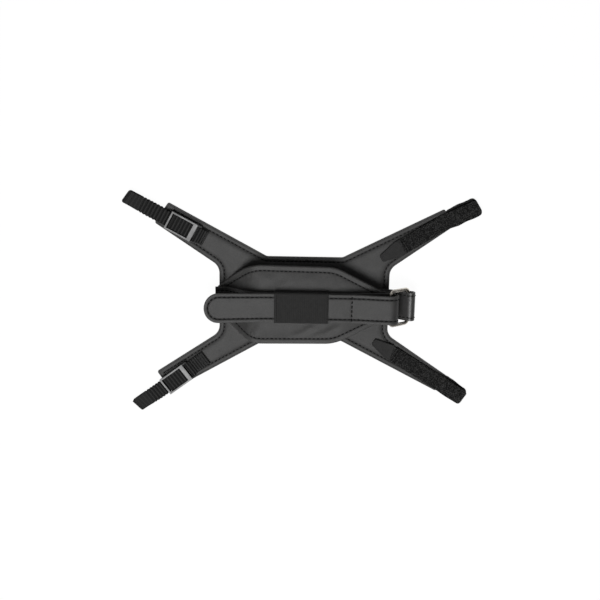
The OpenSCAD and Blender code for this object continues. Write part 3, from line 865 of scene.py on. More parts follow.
def build_panel():
    corners = sharp_corners(loops("panel_lining", (0, 0, -1), (0, 1))[0])
    core = sharp_corners(loops("panel_core", (0, 0, -1), (0, 1))[0], 3.0)
    core_line = outline(core)
    lining_top = extent("panel_lining")[1][2]
    core_top = extent("panel_core")[1][2]
    face_top = extent("panel_face")[1][2]

    def top(x, y, d):
        pts = np.stack([x, y], 1)
        over = smooth((edge_distance(pts, core_line) + 2.2) / 2.6)
        z = face_top - 0.55 * (1 - np.maximum(over, sewn_in(x, y, 1.0)))
        z = z + 0.1 * smooth((d - 9) / 20) * wave(x, y, 38, 3.0)
        z = z + 0.07 * np.sin(np.clip(d / STITCH_IN, 0, 1) * math.pi)
        return (z - rounding(d, 0.8) * 0.75 - groove(d, 1.35, 0.3, 0.35)
                - groove(d, STITCH_IN, 0.5, 0.7))

    def bottom(x, y, d):
        pts = np.stack([x, y], 1)
        over = smooth(edge_distance(pts, core_line) / 0.4 + 1) * (core_top + 0.03 - lining_top)
        strip = sewn_in(x, y, 0.4) * 1.45
        return lining_top + 0.01 + np.maximum(over, strip * smooth(d / 0.2))

    filled = fill(corners, PANEL_INSETS, 2.3)
    face = skin("panel_face_leather", filled, top, bottom, LEATHER, seam=STITCH_IN)
    settle(face, "harness", "leather", "panel_face")

    def lining_low(x, y, d):
        return 0.04 + rounding(d, 0.5) * 0.5 + groove(d, STITCH_IN, 0.3, 0.4)

    lining_fill = fill(corners, (0.25, 0.6, 1.2, 4.3, 4.75, 5.25, 5.7, 7.0), 5.0)
    lining = skin("panel_lining_cloth", lining_fill,
                  lambda x, y, d: np.full(len(x), lining_top - 0.02), lining_low, LINING)
    settle(lining, "harness", "lining", "panel_lining")
    size = np.ptp(outline(corners), axis=0) * MM
    abs(area(outline(corners))) * MM * MM

    stiff = skin("panel_stiffener", fill(core, (0, 0.3), 6.0),
                 lambda x, y, d: core_top - rounding(d, 0.3),
                 lambda x, y, d: lining_top + 0.01 + rounding(d, 0.3), BOARD)
    settle(stiff, "harness", "stiffener", "panel_core")

    line = seam_line(corners)
    x, y = line[:, 0], line[:, 1]
    depth = np.full(len(line), STITCH_IN)
    zero = np.zeros(len(line))
    over = np.stack([x, y, top(x, y, depth)], 1)
    under = np.stack([x, y, lining_low(x, y, depth)], 1)
    up = np.stack([zero, zero, zero + 1], 1)
    seam = stitch_rows("panel_stitches", [(over, up), (under, -up)], THREAD)
    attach(seam, "harness")


def settle(obj, body, slot, *nodes):
    """Puts a finished piece on its body and in place of its CAD nodes; slot is not used."""
    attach(obj, body)
    if nodes:
        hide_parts(*nodes)


# ---------- hand pad ----------

HALF_BELT = extent("belt")[1][1]
PAD_INSETS = (0, 0.15, 0.45, 0.95, 1.8, 3.0, 4.1, 4.6, 4.95, 5.3, 5.9, 7.2, 9.2)
PAD_EDGE = 2.0  # thickness of the pad's sewn border
SWELL_ROOM = 1.2  # how much lower the pad's top starts before it is inflated
SWELL_PRESSURE = 3.5
SWELL_FRAMES = 20
SWELL_CAP = 2.6  # how far the simulation may move a point
PAD_HELD = 5.4  # distance from the edge up to which the sewn border is held
PAD_LINING_T = 0.8
FOAM_BELOW = 3.0  # how far the foam's top lies under the cover's
CREASE_FLOOR = 0.7  # least height of a crease's bottom above the pad's lining
# Soft creases beside the keeper: two ends in X and Y, depth and width
CREASES = (
    ((-16, -35), (14, -20), 2.2, 2.8), ((8, -33), (40, -20), 2.4, 2.8),
    ((24, -33), (46, -25), 1.1, 2.0), ((-44, 17), (-14, 29), 0.6, 3.4),
    ((-30, 16), (-6, 21), 0.5, 2.6), ((34, 18), (58, 16), 0.5, 2.6),
)


def height_along(node, side):
    """Height of a node's top (side 1) or underside (side -1) as a function of X."""
    co = points(node)
    found = {}
    for face in frame["nodes"][node].data.polygons:
        if face.normal.z * side > 0.3:
            for v in face.vertices:
                found[round(co[v][0], 1)] = co[v][2]
    xs = sorted(found)
    return lambda x: np.interp(x, xs, [found[k] for k in xs])


def domed(d):
    """Rise of the pad between its stitches and its middle, from 0 to 1."""
    return np.sin(np.clip((d - PAD_HELD) / 30, 0, 1) * math.pi / 2)


def creased(x, y):
    """Depth of the pad's creases at each place."""
    out = np.zeros(len(x))
    for (ax, ay), (bx, by), depth, width in CREASES:
        along = np.array([bx - ax, by - ay], float)
        length = np.linalg.norm(along)
        along /= length
        t = ((x - ax) * along[0] + (y - ay) * along[1]) / length
        off = (y - ay) * along[0] - (x - ax) * along[1] + 1.2 * np.sin(t * 5)
        out += depth * np.exp(-(off / width) ** 2) * smooth(t * 4) * smooth((1 - t) * 4)
    return out


def inflate(obj, held):
    """Runs a cloth simulation with the held points fixed, and returns where the points end."""
    group = obj.vertex_groups.new(name="held")
    group.add([int(i) for i in np.nonzero(held)[0]], 1.0, "REPLACE")
    cloth = obj.modifiers.new("cloth", "CLOTH")
    settings = cloth.settings
    settings.quality = 6
    settings.mass = 0.2
    settings.tension_stiffness = settings.compression_stiffness = 12
    settings.bending_stiffness = 1.5
    settings.use_pressure = True
    settings.uniform_pressure_force = SWELL_PRESSURE
    settings.vertex_group_mass = "held"
    settings.effector_weights.gravity = 0
    scene = bpy.context.scene
    for number in range(1, SWELL_FRAMES + 1):
        scene.frame_set(number)
    graph = bpy.context.evaluated_depsgraph_get()
    swollen = read_points(obj.evaluated_get(graph).data)
    obj.modifiers.remove(cloth)
    obj.vertex_groups.remove(group)
    scene.frame_set(1)
    return swollen


def refine(obj):
    """Applies one level of subdivision."""
    obj.modifiers.new("subdivision", "SUBSURF").levels = 1
    graph = bpy.context.evaluated_depsgraph_get()
    fine = bpy.data.meshes.new_from_object(obj.evaluated_get(graph))
    obj.modifiers.clear()
    old = obj.data
    obj.data = fine
    fine.name = old.name
    bpy.data.meshes.remove(old)


def build_pad():
    corners = sharp_corners(loops("pad_lining", (0, 0, -1), (0, 1))[0])
    under = height_along("pad_lining", -1)
    level = height_along("pad_cover", 1)

    def crown(x):
        return np.minimum(level(x), sum(level(x + k) for k in range(-12, 13, 3)) / 9)

    def border_top(x):
        return under(x) + np.minimum(PAD_EDGE, crown(x) - under(x))

    def top(x, y, d):
        z = border_top(x) + (crown(x) - SWELL_ROOM - border_top(x)) * domed(d)
        z = z + 0.1 * np.sin(np.clip(d / STITCH_IN, 0, 1) * math.pi)
        return z - rounding(d, 0.8) * 0.8 - groove(d, STITCH_IN, 0.5, 0.7)

    def low(x, y, d):
        return under(x) + PAD_LINING_T + 0.02 + rounding(d, 0.25)

    filled = fill(corners, PAD_INSETS, 2.3)
    cover = skin("pad_cover_leather", filled, top, low, LEATHER, seam=STITCH_IN)
    pts, _, _, depth = filled
    count = len(pts)
    start = read_points(cover.data)
    moved = start.copy()
    held = np.ones(len(start), bool)
    held[:count] = depth < PAD_HELD
    moved = inflate(cover, held)
    moved[held] = start[held]
    shift = moved - start
    far = np.maximum(1e-6, np.linalg.norm(shift, axis=1))
    moved = start + shift * np.minimum(1, SWELL_CAP / far)[:, None]
    x, y = moved[:count, 0], moved[:count, 1]
    inside = smooth((depth - PAD_HELD) / 4)
    room = np.maximum(0.05, moved[:count, 2] - under(x) - PAD_LINING_T - CREASE_FLOOR)
    crease = room * (1 - np.exp(-creased(x, y) / room))
    slack = 0.22 * wave(x, y, 16, 5.0) + 0.1 * wave(x, y, 6, 9.0) - crease
    beside = smooth((np.abs(y) - HALF_BELT - 1.6) / 7)
    moved[:count, 2] += slack * inside * (0.15 + 0.85 * beside)
    ceiling = crown(x) - 0.02 + 1.7 * beside
    moved[:count, 2] = np.minimum(moved[:count, 2], ceiling)
    write_points(cover.data, moved)
    refine(cover)
    settle(cover, "hand_strap", "leather", "pad_cover")

    lining_fill = fill(corners, (-0.35, 0, 0.5, 1.2, 4.3, 4.75, 5.25, 5.7, 7.5), 4.0)
    lining = skin("pad_lining_mesh", lining_fill,
                  lambda x, y, d: under(x) + PAD_LINING_T - rounding(d + 0.35, 0.3),
                  lambda x, y, d: under(x) + rounding(d + 0.35, 0.4) + groove(d, STITCH_IN, 0.3, 0.5),
                  SPACER)
    settle(lining, "hand_strap", "lining", "pad_lining")
    size = np.ptp(outline(corners), axis=0) * MM
    abs(area(outline(corners))) * MM * MM

    foam_corners = sharp_corners(loops("pad_foam", (0, 0, -1), (0, 1))[0])
    foam_low = lambda x: under(x) + PAD_LINING_T + 0.04
    rim = outline(corners)

    def foam_top(x, y, d):
        within = edge_distance(np.stack([x, y], 1), rim)
        below = top(x, y, within) - FOAM_BELOW
        return np.maximum(foam_low(x) + 0.15, foam_low(x) + (below - foam_low(x)) * smooth(d / 3))

    core = skin("pad_foam_core", fill(foam_corners, (0, 0.6, 1.6, 3.2, 5), 5.0), foam_top,
                lambda x, y, d: foam_low(x), FOAM)
    settle(core, "hand_strap", "foam", "pad_foam")

    line = seam_line(corners)
    x = line[:, 0]
    seam_top = border_top(x) - 0.4
    zero = np.zeros(len(line))
    slope = np.gradient(border_top(x)) / np.where(np.abs(np.gradient(x)) < 1e-6, 1e9, np.gradient(x))
    up = np.stack([-slope, zero, zero + 1], 1)
    up /= np.linalg.norm(up, axis=1)[:, None]
    seam = stitch_rows("pad_stitches", [
        (np.stack([x, line[:, 1], seam_top], 1), up),
        (np.stack([x, line[:, 1], under(x) + 0.3], 1), -up)], THREAD)
    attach(seam, "hand_strap")


# ---------- belt ----------

BELT_STITCH_IN = 3.8
BELT_DEPTHS = (0, 0.1, 0.3, 0.6, 1.1, 1.9, 3.0, 3.45, 3.8, 4.15, 4.7, 5.8, 7.5, 10, 12.5)
LAYER_GAP = 0.03
JOIN_X = -12.0  # the belt's free end meets the rest under the keeper
CROSS_SEAM_X = 46.8
BELT_THREAD = {"pitch": 4.5, "length": 3.5, "thick": 1.15}
CROSS_GROOVE_GAP = 3.4  # from the cross seam to the faint groove beside it
ASKEW_FROM_X = JOIN_X - 24  # the free end lies askew beyond here
ASKEW_SLOPE = -0.0285


def belt_face(d):
    """Drop of the belt's outer face: rounded edge, puffed margin, stitch groove."""
    puff = 0.16 * np.sin(np.clip(d / BELT_STITCH_IN, 0, 1) * math.pi)
    return rounding(d, 0.6) * 0.9 - puff + 0.18 + groove(d, BELT_STITCH_IN, 0.5, 0.6)


def build_belt():
    path, thick = band_centre("belt")
    half = thick / 2
    path[0, 0] = JOIN_X
    path = relax(resample(path, 1.3), 3)
    cross_u = CROSS_SEAM_X - JOIN_X  # the run from the join to the cross seam is level
    rim_round = lambda d: rounding(d, 0.3) * 0.8

    def full(u, d, s):
        dip = groove(u, cross_u, 0.45, 0.7) + groove(u, cross_u - CROSS_GROOVE_GAP, 0.35, 0.4)
        return half - belt_face(d) - dip

    outer = ribbon("belt_outer_leather", path, HALF_BELT, BELT_DEPTHS, full,
                   lambda u, d, s: -LAYER_GAP - rim_round(d), BELT_LEATHER,
                   seam=BELT_STITCH_IN)
    settle(outer, "hand_strap", "belt_leather", "belt")
    inner = ribbon("belt_inner_leather", path, HALF_BELT, BELT_DEPTHS,
                   lambda u, d, s: -LAYER_GAP - rim_round(d),
                   lambda u, d, s: half - belt_face(d), BELT_LEATHER, seam=BELT_STITCH_IN)
    settle(inner, "hand_strap", "belt_leather")

    normal = normals_of(path)
    rows = []
    sit = half - float(belt_face(np.array([BELT_STITCH_IN]))[0])
    for side in (-1, 1):
        for face in (1, -1):
            rise = path + normal * sit * face
            y = np.full(len(path), side * (HALF_BELT - BELT_STITCH_IN))
            line = np.stack([rise[:, 0], y, rise[:, 1]], 1)
            up = np.stack([normal[:, 0], 0 * y, normal[:, 1]], 1) * face
            rows.append((line, up))
    at = np.argmin(np.abs(lengths_along(path) - cross_u))
    x, z = path[at] + normal[at] * (half - 0.3)
    y = np.linspace(-HALF_BELT + 1.2, HALF_BELT - 1.2, 12)
    rows.append((np.stack([0 * y + x, y, 0 * y + z], 1),
                 np.tile([normal[at][0], 0, normal[at][1]], (12, 1))))
    seam = stitch_rows("belt_stitches", rows, THREAD, **BELT_THREAD)
    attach(seam, "hand_strap")


def askew(p):
    """The free end lies turned a little towards -Y, and widens by a hair."""
    past = np.maximum(0, ASKEW_FROM_X - p[:, 0])
    return np.stack([0 * past, past * (ASKEW_SLOPE + 0.0008 * p[:, 1]), 0 * past], 1)


def bent_at_peel(obj):
    """Bakes a free-end piece's placement into its points."""
    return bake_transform(obj)


def build_free_end():
    low, high = extent("belt_free_end")
    mid = (low[2] + high[2]) / 2
    half = (high[2] - low[2]) / 2
    tip = HALF_BELT - 0.01
    corners = [(low[0], -HALF_BELT, tip), (JOIN_X, -HALF_BELT, 0.3),
               (JOIN_X, HALF_BELT, 0.3), (low[0], HALF_BELT, tip)]

    def rim_depth(x, y, d):
        """Edge distance that ignores the hidden end under the keeper."""
        along = np.where(x > low[0] + HALF_BELT, HALF_BELT - np.abs(y), d)
        return np.maximum(along, 0)

    filled = fill(corners, BELT_DEPTHS[:11] + (5.6,), 2.2, 1.3)
    outer = skin("free_end_outer_leather", filled,
                 lambda x, y, d: mid + half - belt_face(rim_depth(x, y, d)),
                 lambda x, y, d: mid + LAYER_GAP + rounding(rim_depth(x, y, d), 0.3) * 0.8,
                 BELT_LEATHER, seam=BELT_STITCH_IN)
    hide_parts("belt_free_end")
    inner = skin("free_end_inner_leather", filled,
                 lambda x, y, d: mid - LAYER_GAP - rounding(rim_depth(x, y, d), 0.3) * 0.8,
                 lambda x, y, d: mid - half + belt_face(rim_depth(x, y, d)), BELT_LEATHER,
                 seam=BELT_STITCH_IN)
    line = outline(corners, BELT_STITCH_IN, 0.8)
    first = int(np.argmax(line[:, 0] - 0.01 * line[:, 1]))
    line = np.roll(line, -first, axis=0)
    line = line[line[:, 0] < JOIN_X - BELT_STITCH_IN - 0.6]
    sit = half - float(belt_face(np.array([BELT_STITCH_IN]))[0])
    zero = np.zeros(len(line))
    up = np.stack([zero, zero, zero + 1], 1)
    seam = stitch_rows("free_end_stitches", [
        (np.stack([line[:, 0], line[:, 1], zero + mid + sit], 1), up),
        (np.stack([line[:, 0], line[:, 1], zero + mid - sit], 1), -up)],
        THREAD, **BELT_THREAD)
    tape = tape_piece("free_end_hooks", "free_end_hook_tape", HOOK_TAPE, -1)
    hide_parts("free_end_hook_tape")
    for obj in (outer, inner, seam, tape):
        nudge(obj, Matrix.Identity(4), askew)
        bent_at_peel(obj)


# Rings up one bent hook: how far it leans, its height and its half thickness
HOOK_STEPS = ((0, -0.05, 0.14), (0.05, 0.25, 0.12), (0.22, 0.44, 0.1), (0.42, 0.3, 0.06))


def tape_piece(name, node, material, hooks=0, place=None):
    """Sewn tape in its CAD node's place, with rows of bent hooks on the side given by hooks."""
    low, high = extent(node, place)
    corners = [(low[0], low[1], 1), (high[0], low[1], 1), (high[0], high[1], 1),
               (low[0], high[1], 1)]
    room = 0.45 if hooks else 0.0
    base_low = low[2] + (room if hooks < 0 else 0.0)
    base_high = high[2] - (room if hooks > 0 else 0.0)
    filled = fill(corners, (0, 0.15, 0.5, 1.2, 1.6, 2.0), 2.5)
    tape = skin(name, filled,
                lambda x, y, d: base_high - rounding(d, 0.3) - groove(d, 1.6, 0.1, 0.3),
                lambda x, y, d: base_low + rounding(d, 0.3) + groove(d, 1.6, 0.1, 0.3),
                material, place)
    if not hooks:
        return tape
    co, faces = [], []
    root = base_high if hooks > 0 else base_low
    for x in np.arange(low[0] + 2.4, high[0] - 1.8, 1.5):
        for y in np.arange(low[1] + 2.4, high[1] - 1.8, 1.3):
            lean = rng.choice((-1, 1))
            base = len(co)
            for shift, rise, girth in HOOK_STEPS:
                for m in range(4):
                    angle = math.pi * (0.25 + m / 2)
                    co.append((x + lean * shift + girth * math.cos(angle),
                               y + girth * math.sin(angle), root + hooks * rise))
            for r in range(3):
                for m in range(4):
                    a, b = base + r * 4 + m, base + r * 4 + (m + 1) % 4
                    faces.append((a, b, b + 4, a + 4))
            faces.append(tuple(base + 12 + m for m in range(4)))
    barbs = make_piece(name + "_barbs", co, faces, material, place)
    bpy.ops.object.select_all(action="DESELECT")
    barbs.select_set(True)
    tape.select_set(True)
    bpy.context.view_layer.objects.active = tape
    bpy.ops.object.join()
    return tape


def build_belt_tapes():
    loop = tape_piece("belt_loop_tape_pile", "belt_loop_tape", LOOP_TAPE)
    settle(loop, "hand_strap", "loop_tape", "belt_loop_tape")
    hook = tape_piece("belt_hooks", "belt_hook_tape", HOOK_TAPE, -1)
    settle(hook, "hand_strap", "hook_tape", "belt_hook_tape")


def build_keeper():
    """Elastic sleeve round the belt: rounded corners, hemmed ends, drawn in at its sides."""
    low, high = extent("elastic_keeper")
    wall = 0.75
    corners = [(low[1], low[2], 1.7), (high[1], low[2], 1.7),
               (high[1], high[2], 1.7), (low[1], high[2], 1.7)]
    loop = outline(corners, 0, 0.9)
    count = len(loop)
    tangent = np.roll(loop, -1, axis=0) - np.roll(loop, 1, axis=0)
    tangent /= np.linalg.norm(tangent, axis=1)[:, None]
    outward = np.stack([tangent[:, 1], -tangent[:, 0]], 1)
    arc = lengths_along(loop)
    length = high[0] - low[0]
    hem = 2.6
    stations = np.array([0, 0.12, 0.4, 1.0, 1.9, hem - 0.25, hem, hem + 0.35]
                        + list(np.linspace(hem + 1.4, length - 1.4, 30))
                        + [length - 0.6, length - 0.2, length])
    middle = (low[2] + high[2]) / 2
    pinch = 0.7 * np.exp(-((loop[:, 1] - middle) / 1.7) ** 2) * (np.abs(loop[:, 0]) > high[1] - 0.3)
    co, own = [], []
    for inner in (0, 1):
        for s in stations:
            thick = 0.16 * smooth((hem - s) / 0.3) - 0.12 * math.exp(-((s - hem) / 0.25) ** 2)
            edge = 0.2 * (math.exp(-s / 0.15) + math.exp(-(length - s) / 0.15))
            slack = 0.09 * wave(np.full(count, s), arc * 0 + loop[:, 0] * 1.4, 9, 2.0)
            out = (thick - edge + slack * (loop[:, 1] > middle)) if not inner else -wall
            point = loop + outward * (out - pinch)[:, None]
            co += [(low[0] + s, p[0], p[1]) for p in point]
            own += [(s, a, 0) for a in arc]
    faces, rows = [], len(stations)
    shift = rows * count
    for i in range(rows - 1):
        for j in range(count):
            k = (j + 1) % count
            a, b, c, d = i * count + j, i * count + k, (i + 1) * count + k, (i + 1) * count + j
            faces += [(a, b, c, d), (a + shift, d + shift, c + shift, b + shift)]
    for i in (0, rows - 1):
        for j in range(count):
            k = (j + 1) % count
            faces.append((i * count + j, i * count + k, i * count + k + shift, i * count + j + shift))
    sleeve = make_piece("keeper_sleeve", co, faces, ELASTIC, None, own)
    settle(sleeve, "hand_strap", "elastic", "elastic_keeper")
    rows = []
    for s, inset in ((hem, 0.05), (length - 1.2, 0.0)):
        y = np.linspace(low[1] + 1.6, high[1] - 1.6, 20)
        rows.append(level_row(low[0] + s, y, high[2] - inset))
    seam = stitch_rows("keeper_stitches", rows, THREAD, pitch=2.6, length=1.9, thick=0.35)
    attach(seam, "hand_strap")


# ---------- ring and its tab ----------

RING_TAB_STITCH_IN = 3.2
RING_TAB_FOLD_LEN = 11.5  # from the ring's bar back to where the tab's two layers meet


def folded_path(mids, t, centre, r):
    """Line of one layer that runs below a middle line, round a bar and back above it."""
    mids = [np.array(p, float) for p in mids]
    centre = np.array(centre, float)
    out = {}
    for side in (-1, 1):
        line = []
        for i, p in enumerate(mids):
            q = mids[i + 1] if i + 1 < len(mids) else centre
            d = unit(q - p)
            line.append(p + np.array([-d[1], d[0]]) * side * t / 2)
        reach = centre - line[-1]
        lean = math.asin(r / np.linalg.norm(reach))
        angle = math.atan2(reach[1], reach[0]) + side * (lean + math.pi / 2)
        out[side] = (line, angle)
    (low, start), (high, end) = out[-1], out[1]
    turns = np.linspace(start, end, 24)
    bend = [centre + r * np.array([math.cos(a), math.sin(a)]) for a in turns]
    return np.array(low + bend + high[::-1])


def build_ring():
    node = frame["nodes"]["rectangular_ring"]
    node.data.materials.clear()
    node.data.materials.append(METAL)


def build_ring_tab():
    co = points("ring_tab")
    low = co.min(0)
    sewn = co[np.abs(co[:, 0] - low[0]) < 0.1]
    t = np.ptp(sewn[:, 2]) / 2
    flat = co[co[:, 2] < low[2] + 0.05]
    pivot = np.array(JOINTS["ring_swing"]["pos_m"])[[0, 2]] / MM
    bend = np.array([flat[:, 0].max() - 0.5, low[2] + t])
    d = unit(pivot - bend)
    apex = pivot - d * RING_TAB_FOLD_LEN
    reach, peak = co[:, 0].max() - pivot[0], co[:, 2].max() - pivot[1]
    slack = (reach - peak) / (d[0] - d[1])
    turn_r = peak - slack * d[1] - t / 2
    path = folded_path([(low[0], bend[1]), bend, apex], t, pivot + slack * d, turn_r)
    path = relax(resample(path, 1.0), 5)
    depths = (0, 0.1, 0.3, 0.6, 1.2, 2.2, 2.9, RING_TAB_STITCH_IN, 3.5, 3.9, 5.5, 8, 11)
    half = t / 2 - 0.05
    half_w = np.ptp(co[:, 1]) / 2
    face = lambda u, d, s: half - rounding(d, 0.5) * 0.9 - groove(d, RING_TAB_STITCH_IN, 0.25, 0.35)
    tab = ribbon("ring_tab_leather", path, half_w, depths, face, face, TAB_LEATHER)
    settle(tab, "harness", "leather", "ring_tab")
    normal = normals_of(path)
    rows = []
    for side in (-1, 1):
        rise = path - normal * (half - 0.2)
        y = np.full(len(path), side * (half_w - RING_TAB_STITCH_IN))
        rows.append((np.stack([rise[:, 0], y, rise[:, 1]], 1),
                     np.stack([-normal[:, 0], 0 * y, -normal[:, 1]], 1)))
    seam = stitch_rows("ring_tab_stitches", rows, THREAD, length=2.9)
    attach(seam, "harness")


# ---------- webbing and buckles ----------

BUCKLE_BEVEL = 0.62
WEB_DEPTHS = (0, 0.12, 0.35, 0.8, 1.6, 3, 4.5, 6, 7.5)
WEB_ENDS = {"upper": (0.13, -0.3), "lower": (-0.15, -0.8)}  # skew and sideways shift of each fold


def rib(u):
    """Height of the webbing's ribs, from 0 in a groove to 1 on a crest."""
    return np.abs(np.cos(math.pi * u / RIB)) ** 1.1


def web_faces(t, ribbed, notch=lambda u: 0.6):
    """Half thickness and half width of ribbed webbing, as functions of the place along it."""
    def face(u, d, s):
        crest = 1 - (1 - rib(u)) * ribbed(u)
        return t / 2 * (0.36 + 0.64 * crest) - rounding(d, 0.5) * 0.7

    def width(half):
        return lambda u: half - notch(u) * (1 - rib(u)) * ribbed(u)
    return face, width


def web_line(path):
    """Fine steps for the ribs."""
    return resample(path, RIB / 8)


def build_webbing(side):
    mount = mount_frame(side + "_web_loop")
    loop_low, loop_high = extent(side + "_web_loop", mount)
    tail_low, tail_high = extent(side + "_web_tail", mount)
    half_w = loop_high[1]
    t = tail_high[2] - tail_low[2]
    low_z = loop_low[2] + t / 2
    high_z = loop_high[2] - t / 2
    centre = (0, (low_z + high_z) / 2)
    skew, shift = WEB_ENDS[side]

    def end(p):
        """Towards its loop the webbing narrows, and its fold lies a little askew."""
        near = smooth((p[:, 0] + 24) / 22)
        fold = smooth((p[:, 0] + 12) / 12)
        return np.stack([(skew * p[:, 1] + 0.4) * fold, (shift - 0.09 * p[:, 1]) * near,
                         0 * near], 1)
    r = (high_z - low_z) / 2
    smooth_end = 9.0

    arc = [(centre[0] + r * math.cos(a), centre[1] + r * math.sin(a))
           for a in np.linspace(-math.pi / 2, math.pi / 2, 20)]
    lower = web_line([(loop_low[0], low_z)] + arc + [(-1.5, high_z)])
    fold_u = -loop_low[0]
    ribs = lambda u: smooth((fold_u - smooth_end - u) / 4)
    face, width = web_faces(t, ribs)
    loop = ribbon(f"{side}_webbing_loop", lower, width(half_w), WEB_DEPTHS, face, face,
                  WEBBING, mount, seam=lambda u: 1 - ribs(u), corner=1.7)
    nudge(loop, mount, end)
    settle(loop, "harness", "webbing", f"{side}_web_loop")

    bar_out = extent(side + "_buckle", mount)[1][0]
    cross = tail_low[0]
    window = (cross + 3.6, bar_out - 1.6)

    def sag(u):
        """The webbing dips under the cross bar and the outer bar and crowns between them."""
        inner_dip = groove(u, window[0] - 0.6, 0.9, 1.8)
        outer_dip = groove(u, window[1] + 0.6, 1.6, 2.4)
        beyond = smooth((u - bar_out - 2) / 10) * smooth((-3 - u) / 10)
        return -inner_dip - outer_dip - 0.35 * beyond

    us = np.arange(cross, -1.4, 0.4)
    run = web_line(np.stack([us, high_z + sag(us)], 1))
    ribs = lambda u: smooth((-1.5 - cross - smooth_end - u) / 4)
    face, width = web_faces(t, ribs, lambda u: 0.12 + 0.48 * smooth((u - bar_out + cross) / 3))
    upper = ribbon(f"{side}_webbing_run", run, width(half_w), WEB_DEPTHS, face, face,
                   WEBBING, mount, seam=lambda u: 1 - ribs(u))
    nudge(upper, mount, end)
    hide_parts(f"{side}_web_tail")
    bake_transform(upper)
    build_buckle_tab(side, mount, t, half_w)
    build_buckle(side)


def build_buckle_tab(side, mount, t, half_w):
    low, high = extent(side + "_buckle_tab", mount)
    hinge = np.array(mount.inverted() @ (Vector(JOINTS[side + "_buckle_tilt"]["pos_m"]) / MM))
    bar = (hinge[0], hinge[2])
    mid_z = low[2] + t
    apex = (bar[0] - 5.5, mid_z)
    turn_r = high[0] - bar[0] - t / 2
    path = folded_path([(low[0], mid_z), apex], t, bar, turn_r)
    path = relax(resample(path, 0.45), 8)
    fine = lambda u, d, s: t / 2 * (0.5 + 0.5 * rib(u * 1.3)) - rounding(d, 0.5) * 0.7
    tab = ribbon(f"{side}_tab_webbing", path, half_w, WEB_DEPTHS, fine, fine, TAB_WEBBING, mount)
    settle(tab, "harness", "webbing", f"{side}_buckle_tab")
    top = low[2] + 2 * t
    inner, outer = low[0] + 1.2, apex[0] - 0.3
    rows = []
    reach = half_w - 1.8
    for x in (inner, inner + 3.6):
        y = np.linspace(-reach, reach, 49)
        zig = x + 1.1 + 1.1 * np.sign(np.sin(np.linspace(0, 9 * math.pi, 49))) * 0.8
        rows.append(level_row(zig, y, top - 0.08))
    for y in (-reach, reach):
        x = np.linspace(inner, outer, 12)
        rows.append(level_row(x, y, top - 0.08))
    if outer - inner > 9:
        for x in (outer, outer - 7.5):
            y = np.linspace(-reach, reach, 12)
            rows.append(level_row(x, y, top - 0.08))
    seam = stitch_rows(f"{side}_tab_stitches", rows, TAB_THREAD, mount, 2.2, 1.8, 0.75, 0.05)
    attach(seam, "harness")


def build_buckle(side):
    node = frame["nodes"][side + "_buckle"]
    node.data.materials.clear()
    node.data.materials.append(PLASTIC)
    weld = node.modifiers.new("weld", "WELD")
    weld.merge_threshold = 0.01 * MM
    bevel = node.modifiers.new("bevel", "BEVEL")
    bevel.width = BUCKLE_BEVEL * MM
    bevel.segments = 3
    bevel.limit_method = "ANGLE"
    bevel.angle_limit = math.radians(35)


# ---------- hook and loop corner straps ----------

NAP_DEPTHS = (0, 0.12, 0.4, 0.9, 1.5, 2.2, 3, 3.9, 4.8, 5.8, 6.8, 7.6)
# Sideways slip of a strap's lower and upper run beside the fold and, added to it, at the fold
STRAP_ENDS = {"upper": ((0.9, -1.8), (-1.8, -1.6)), "lower": ((2.6, 0.2), (-1.2, 0.3))}


def napped(t, seed):
    """Half thickness of a napped strap: tufts over a soft unevenness."""
    def face(u, d, s):
        tufts = 0.13 * wave(u, s, 1.3, seed) + 0.1 * wave(u, s, 4.5, seed + 7)
        return t / 2 - 0.12 + tufts * np.clip(d / 0.6, 0, 1) - rounding(d, 0.6) * 0.8
    return face


def strap_end(side, low_z, high_z):
    """How a strap's loop lies: its upper run slips sideways over its lower one."""
    beside, fold = STRAP_ENDS[side]

    def move(p):
        share = np.clip((p[:, 2] - low_z) / (high_z - low_z), 0, 1)
        near, at_fold = smooth((p[:, 0] + 32) / 12), smooth((p[:, 0] + 13) / 12)
        low = beside[0] * near + fold[0] * at_fold
        high = beside[1] * near + fold[1] * at_fold
        return np.stack([3.0 * smooth((p[:, 0] + 8) / 9), low * (1 - share) + high * share,
                         0 * near], 1)
    return move


def ragged(half, seed):
    return lambda u: half - 0.18 + 0.16 * wave(u, 0 * u, 2.2, seed) + 0.12 * wave(u, 0 * u, 9, seed)


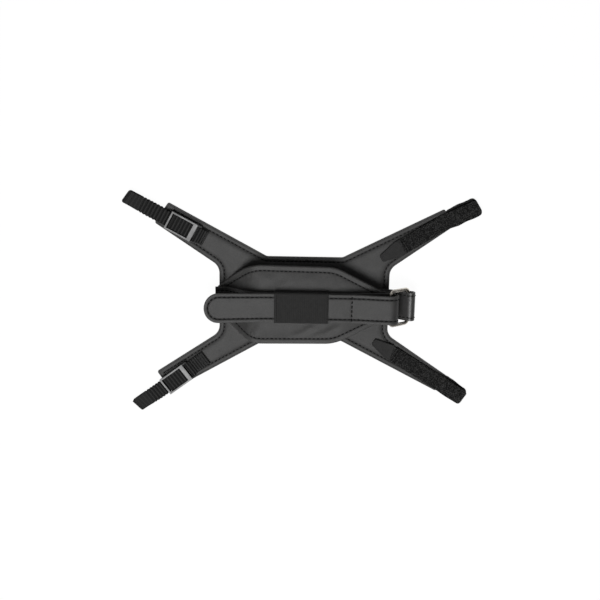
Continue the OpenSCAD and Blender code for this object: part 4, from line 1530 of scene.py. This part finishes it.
def build_corner_strap(side):
    mount = mount_frame(side + "_strap_loop")
    low, high = extent(side + "_corner_strap", mount)
    middle, t = band_centre(side + "_strap_flap", mount)
    if middle[0, 0] > middle[-1, 0]:
        middle = middle[::-1]
    half_w = high[1]
    low_z, high_z = low[2] + t / 2, high[2] - t / 2
    r = (high_z - low_z) / 2
    hinge_u = middle[-1, 0]
    arc = [(r * math.cos(a), (low_z + high_z) / 2 + r * math.sin(a))
           for a in np.linspace(-math.pi / 2, math.pi / 2, 20)]
    line = resample([(low[0], low_z)] + arc + [(hinge_u, high_z)], 0.9)
    nap = napped(t, 3.0)
    smooth_side = lambda u, d, s: t / 2 - 0.1 - rounding(d, 0.4) * 0.8
    strap = ribbon(f"{side}_strap_loop", line, ragged(half_w, 4.0), NAP_DEPTHS, smooth_side, nap,
                   NAP, mount, corner=r + 0.9, inside=BACKING)
    move = strap_end(side, low_z, high_z)
    nudge(strap, mount, move)
    settle(strap, "harness", "strap_backing", f"{side}_corner_strap")

    path = relax(resample(np.concatenate([middle[:1] - [[1.5, 0]], middle]), 0.9), 6)
    flap = ribbon(f"{side}_flap_nap", path, ragged(half_w, 12.0), NAP_DEPTHS, napped(t, 21.0),
                  smooth_side, NAP, mount)
    nudge(flap, mount, move)
    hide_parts(f"{side}_strap_flap")

    pull_low, pull_high = extent(side + "_pull_tab", mount)
    flat = loops(side + "_pull_tab", (0, 0, 1), (0, 1), mount)[0]
    corners = sharp_corners(flat, 4.0)
    filled = fill(corners, (0, 0.12, 0.35, 0.7, 1.1, 1.5, 2.2), 1.6, 1.0)
    pull = skin(f"{side}_pull_tab_end", filled,
                lambda x, y, d: pull_high[2] - 0.12 - rounding(d, 0.5) * 0.8
                - 0.16 * smooth((d - 1.1) / 0.4) + 0.05 * wave(x, y, 3, 1.0),
                lambda x, y, d: pull_low[2] + 0.08 + rounding(d, 0.5) * 0.8, PULL, mount)
    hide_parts(f"{side}_pull_tab")
    y = np.linspace(-half_w + 1.2, half_w - 1.2, 12)
    rows = [level_row(pull_high[0] + gap, y, pull_high[2] - 0.05) for gap in (1.2, 3.4)]
    seam = stitch_rows(f"{side}_flap_stitches", rows, THREAD, mount, 2.4, 2.1, 0.8, 0.1)
    for obj in (flap, pull, seam):
        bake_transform(obj)
    patch = tape_piece(f"{side}_patch_hooks", f"{side}_hook_patch", HOOK_TAPE, 1, mount)
    settle(patch, "harness", "hook_tape", f"{side}_hook_patch")


add_camera()
add_lights()
add_stage()
bpy.context.scene.view_settings.view_transform = "Standard"
build_panel()
build_pad()
build_belt()
build_free_end()
build_belt_tapes()
build_keeper()
build_ring()
build_ring_tab()
for side in ("upper", "lower"):
    build_webbing(side)
    build_corner_strap(side)
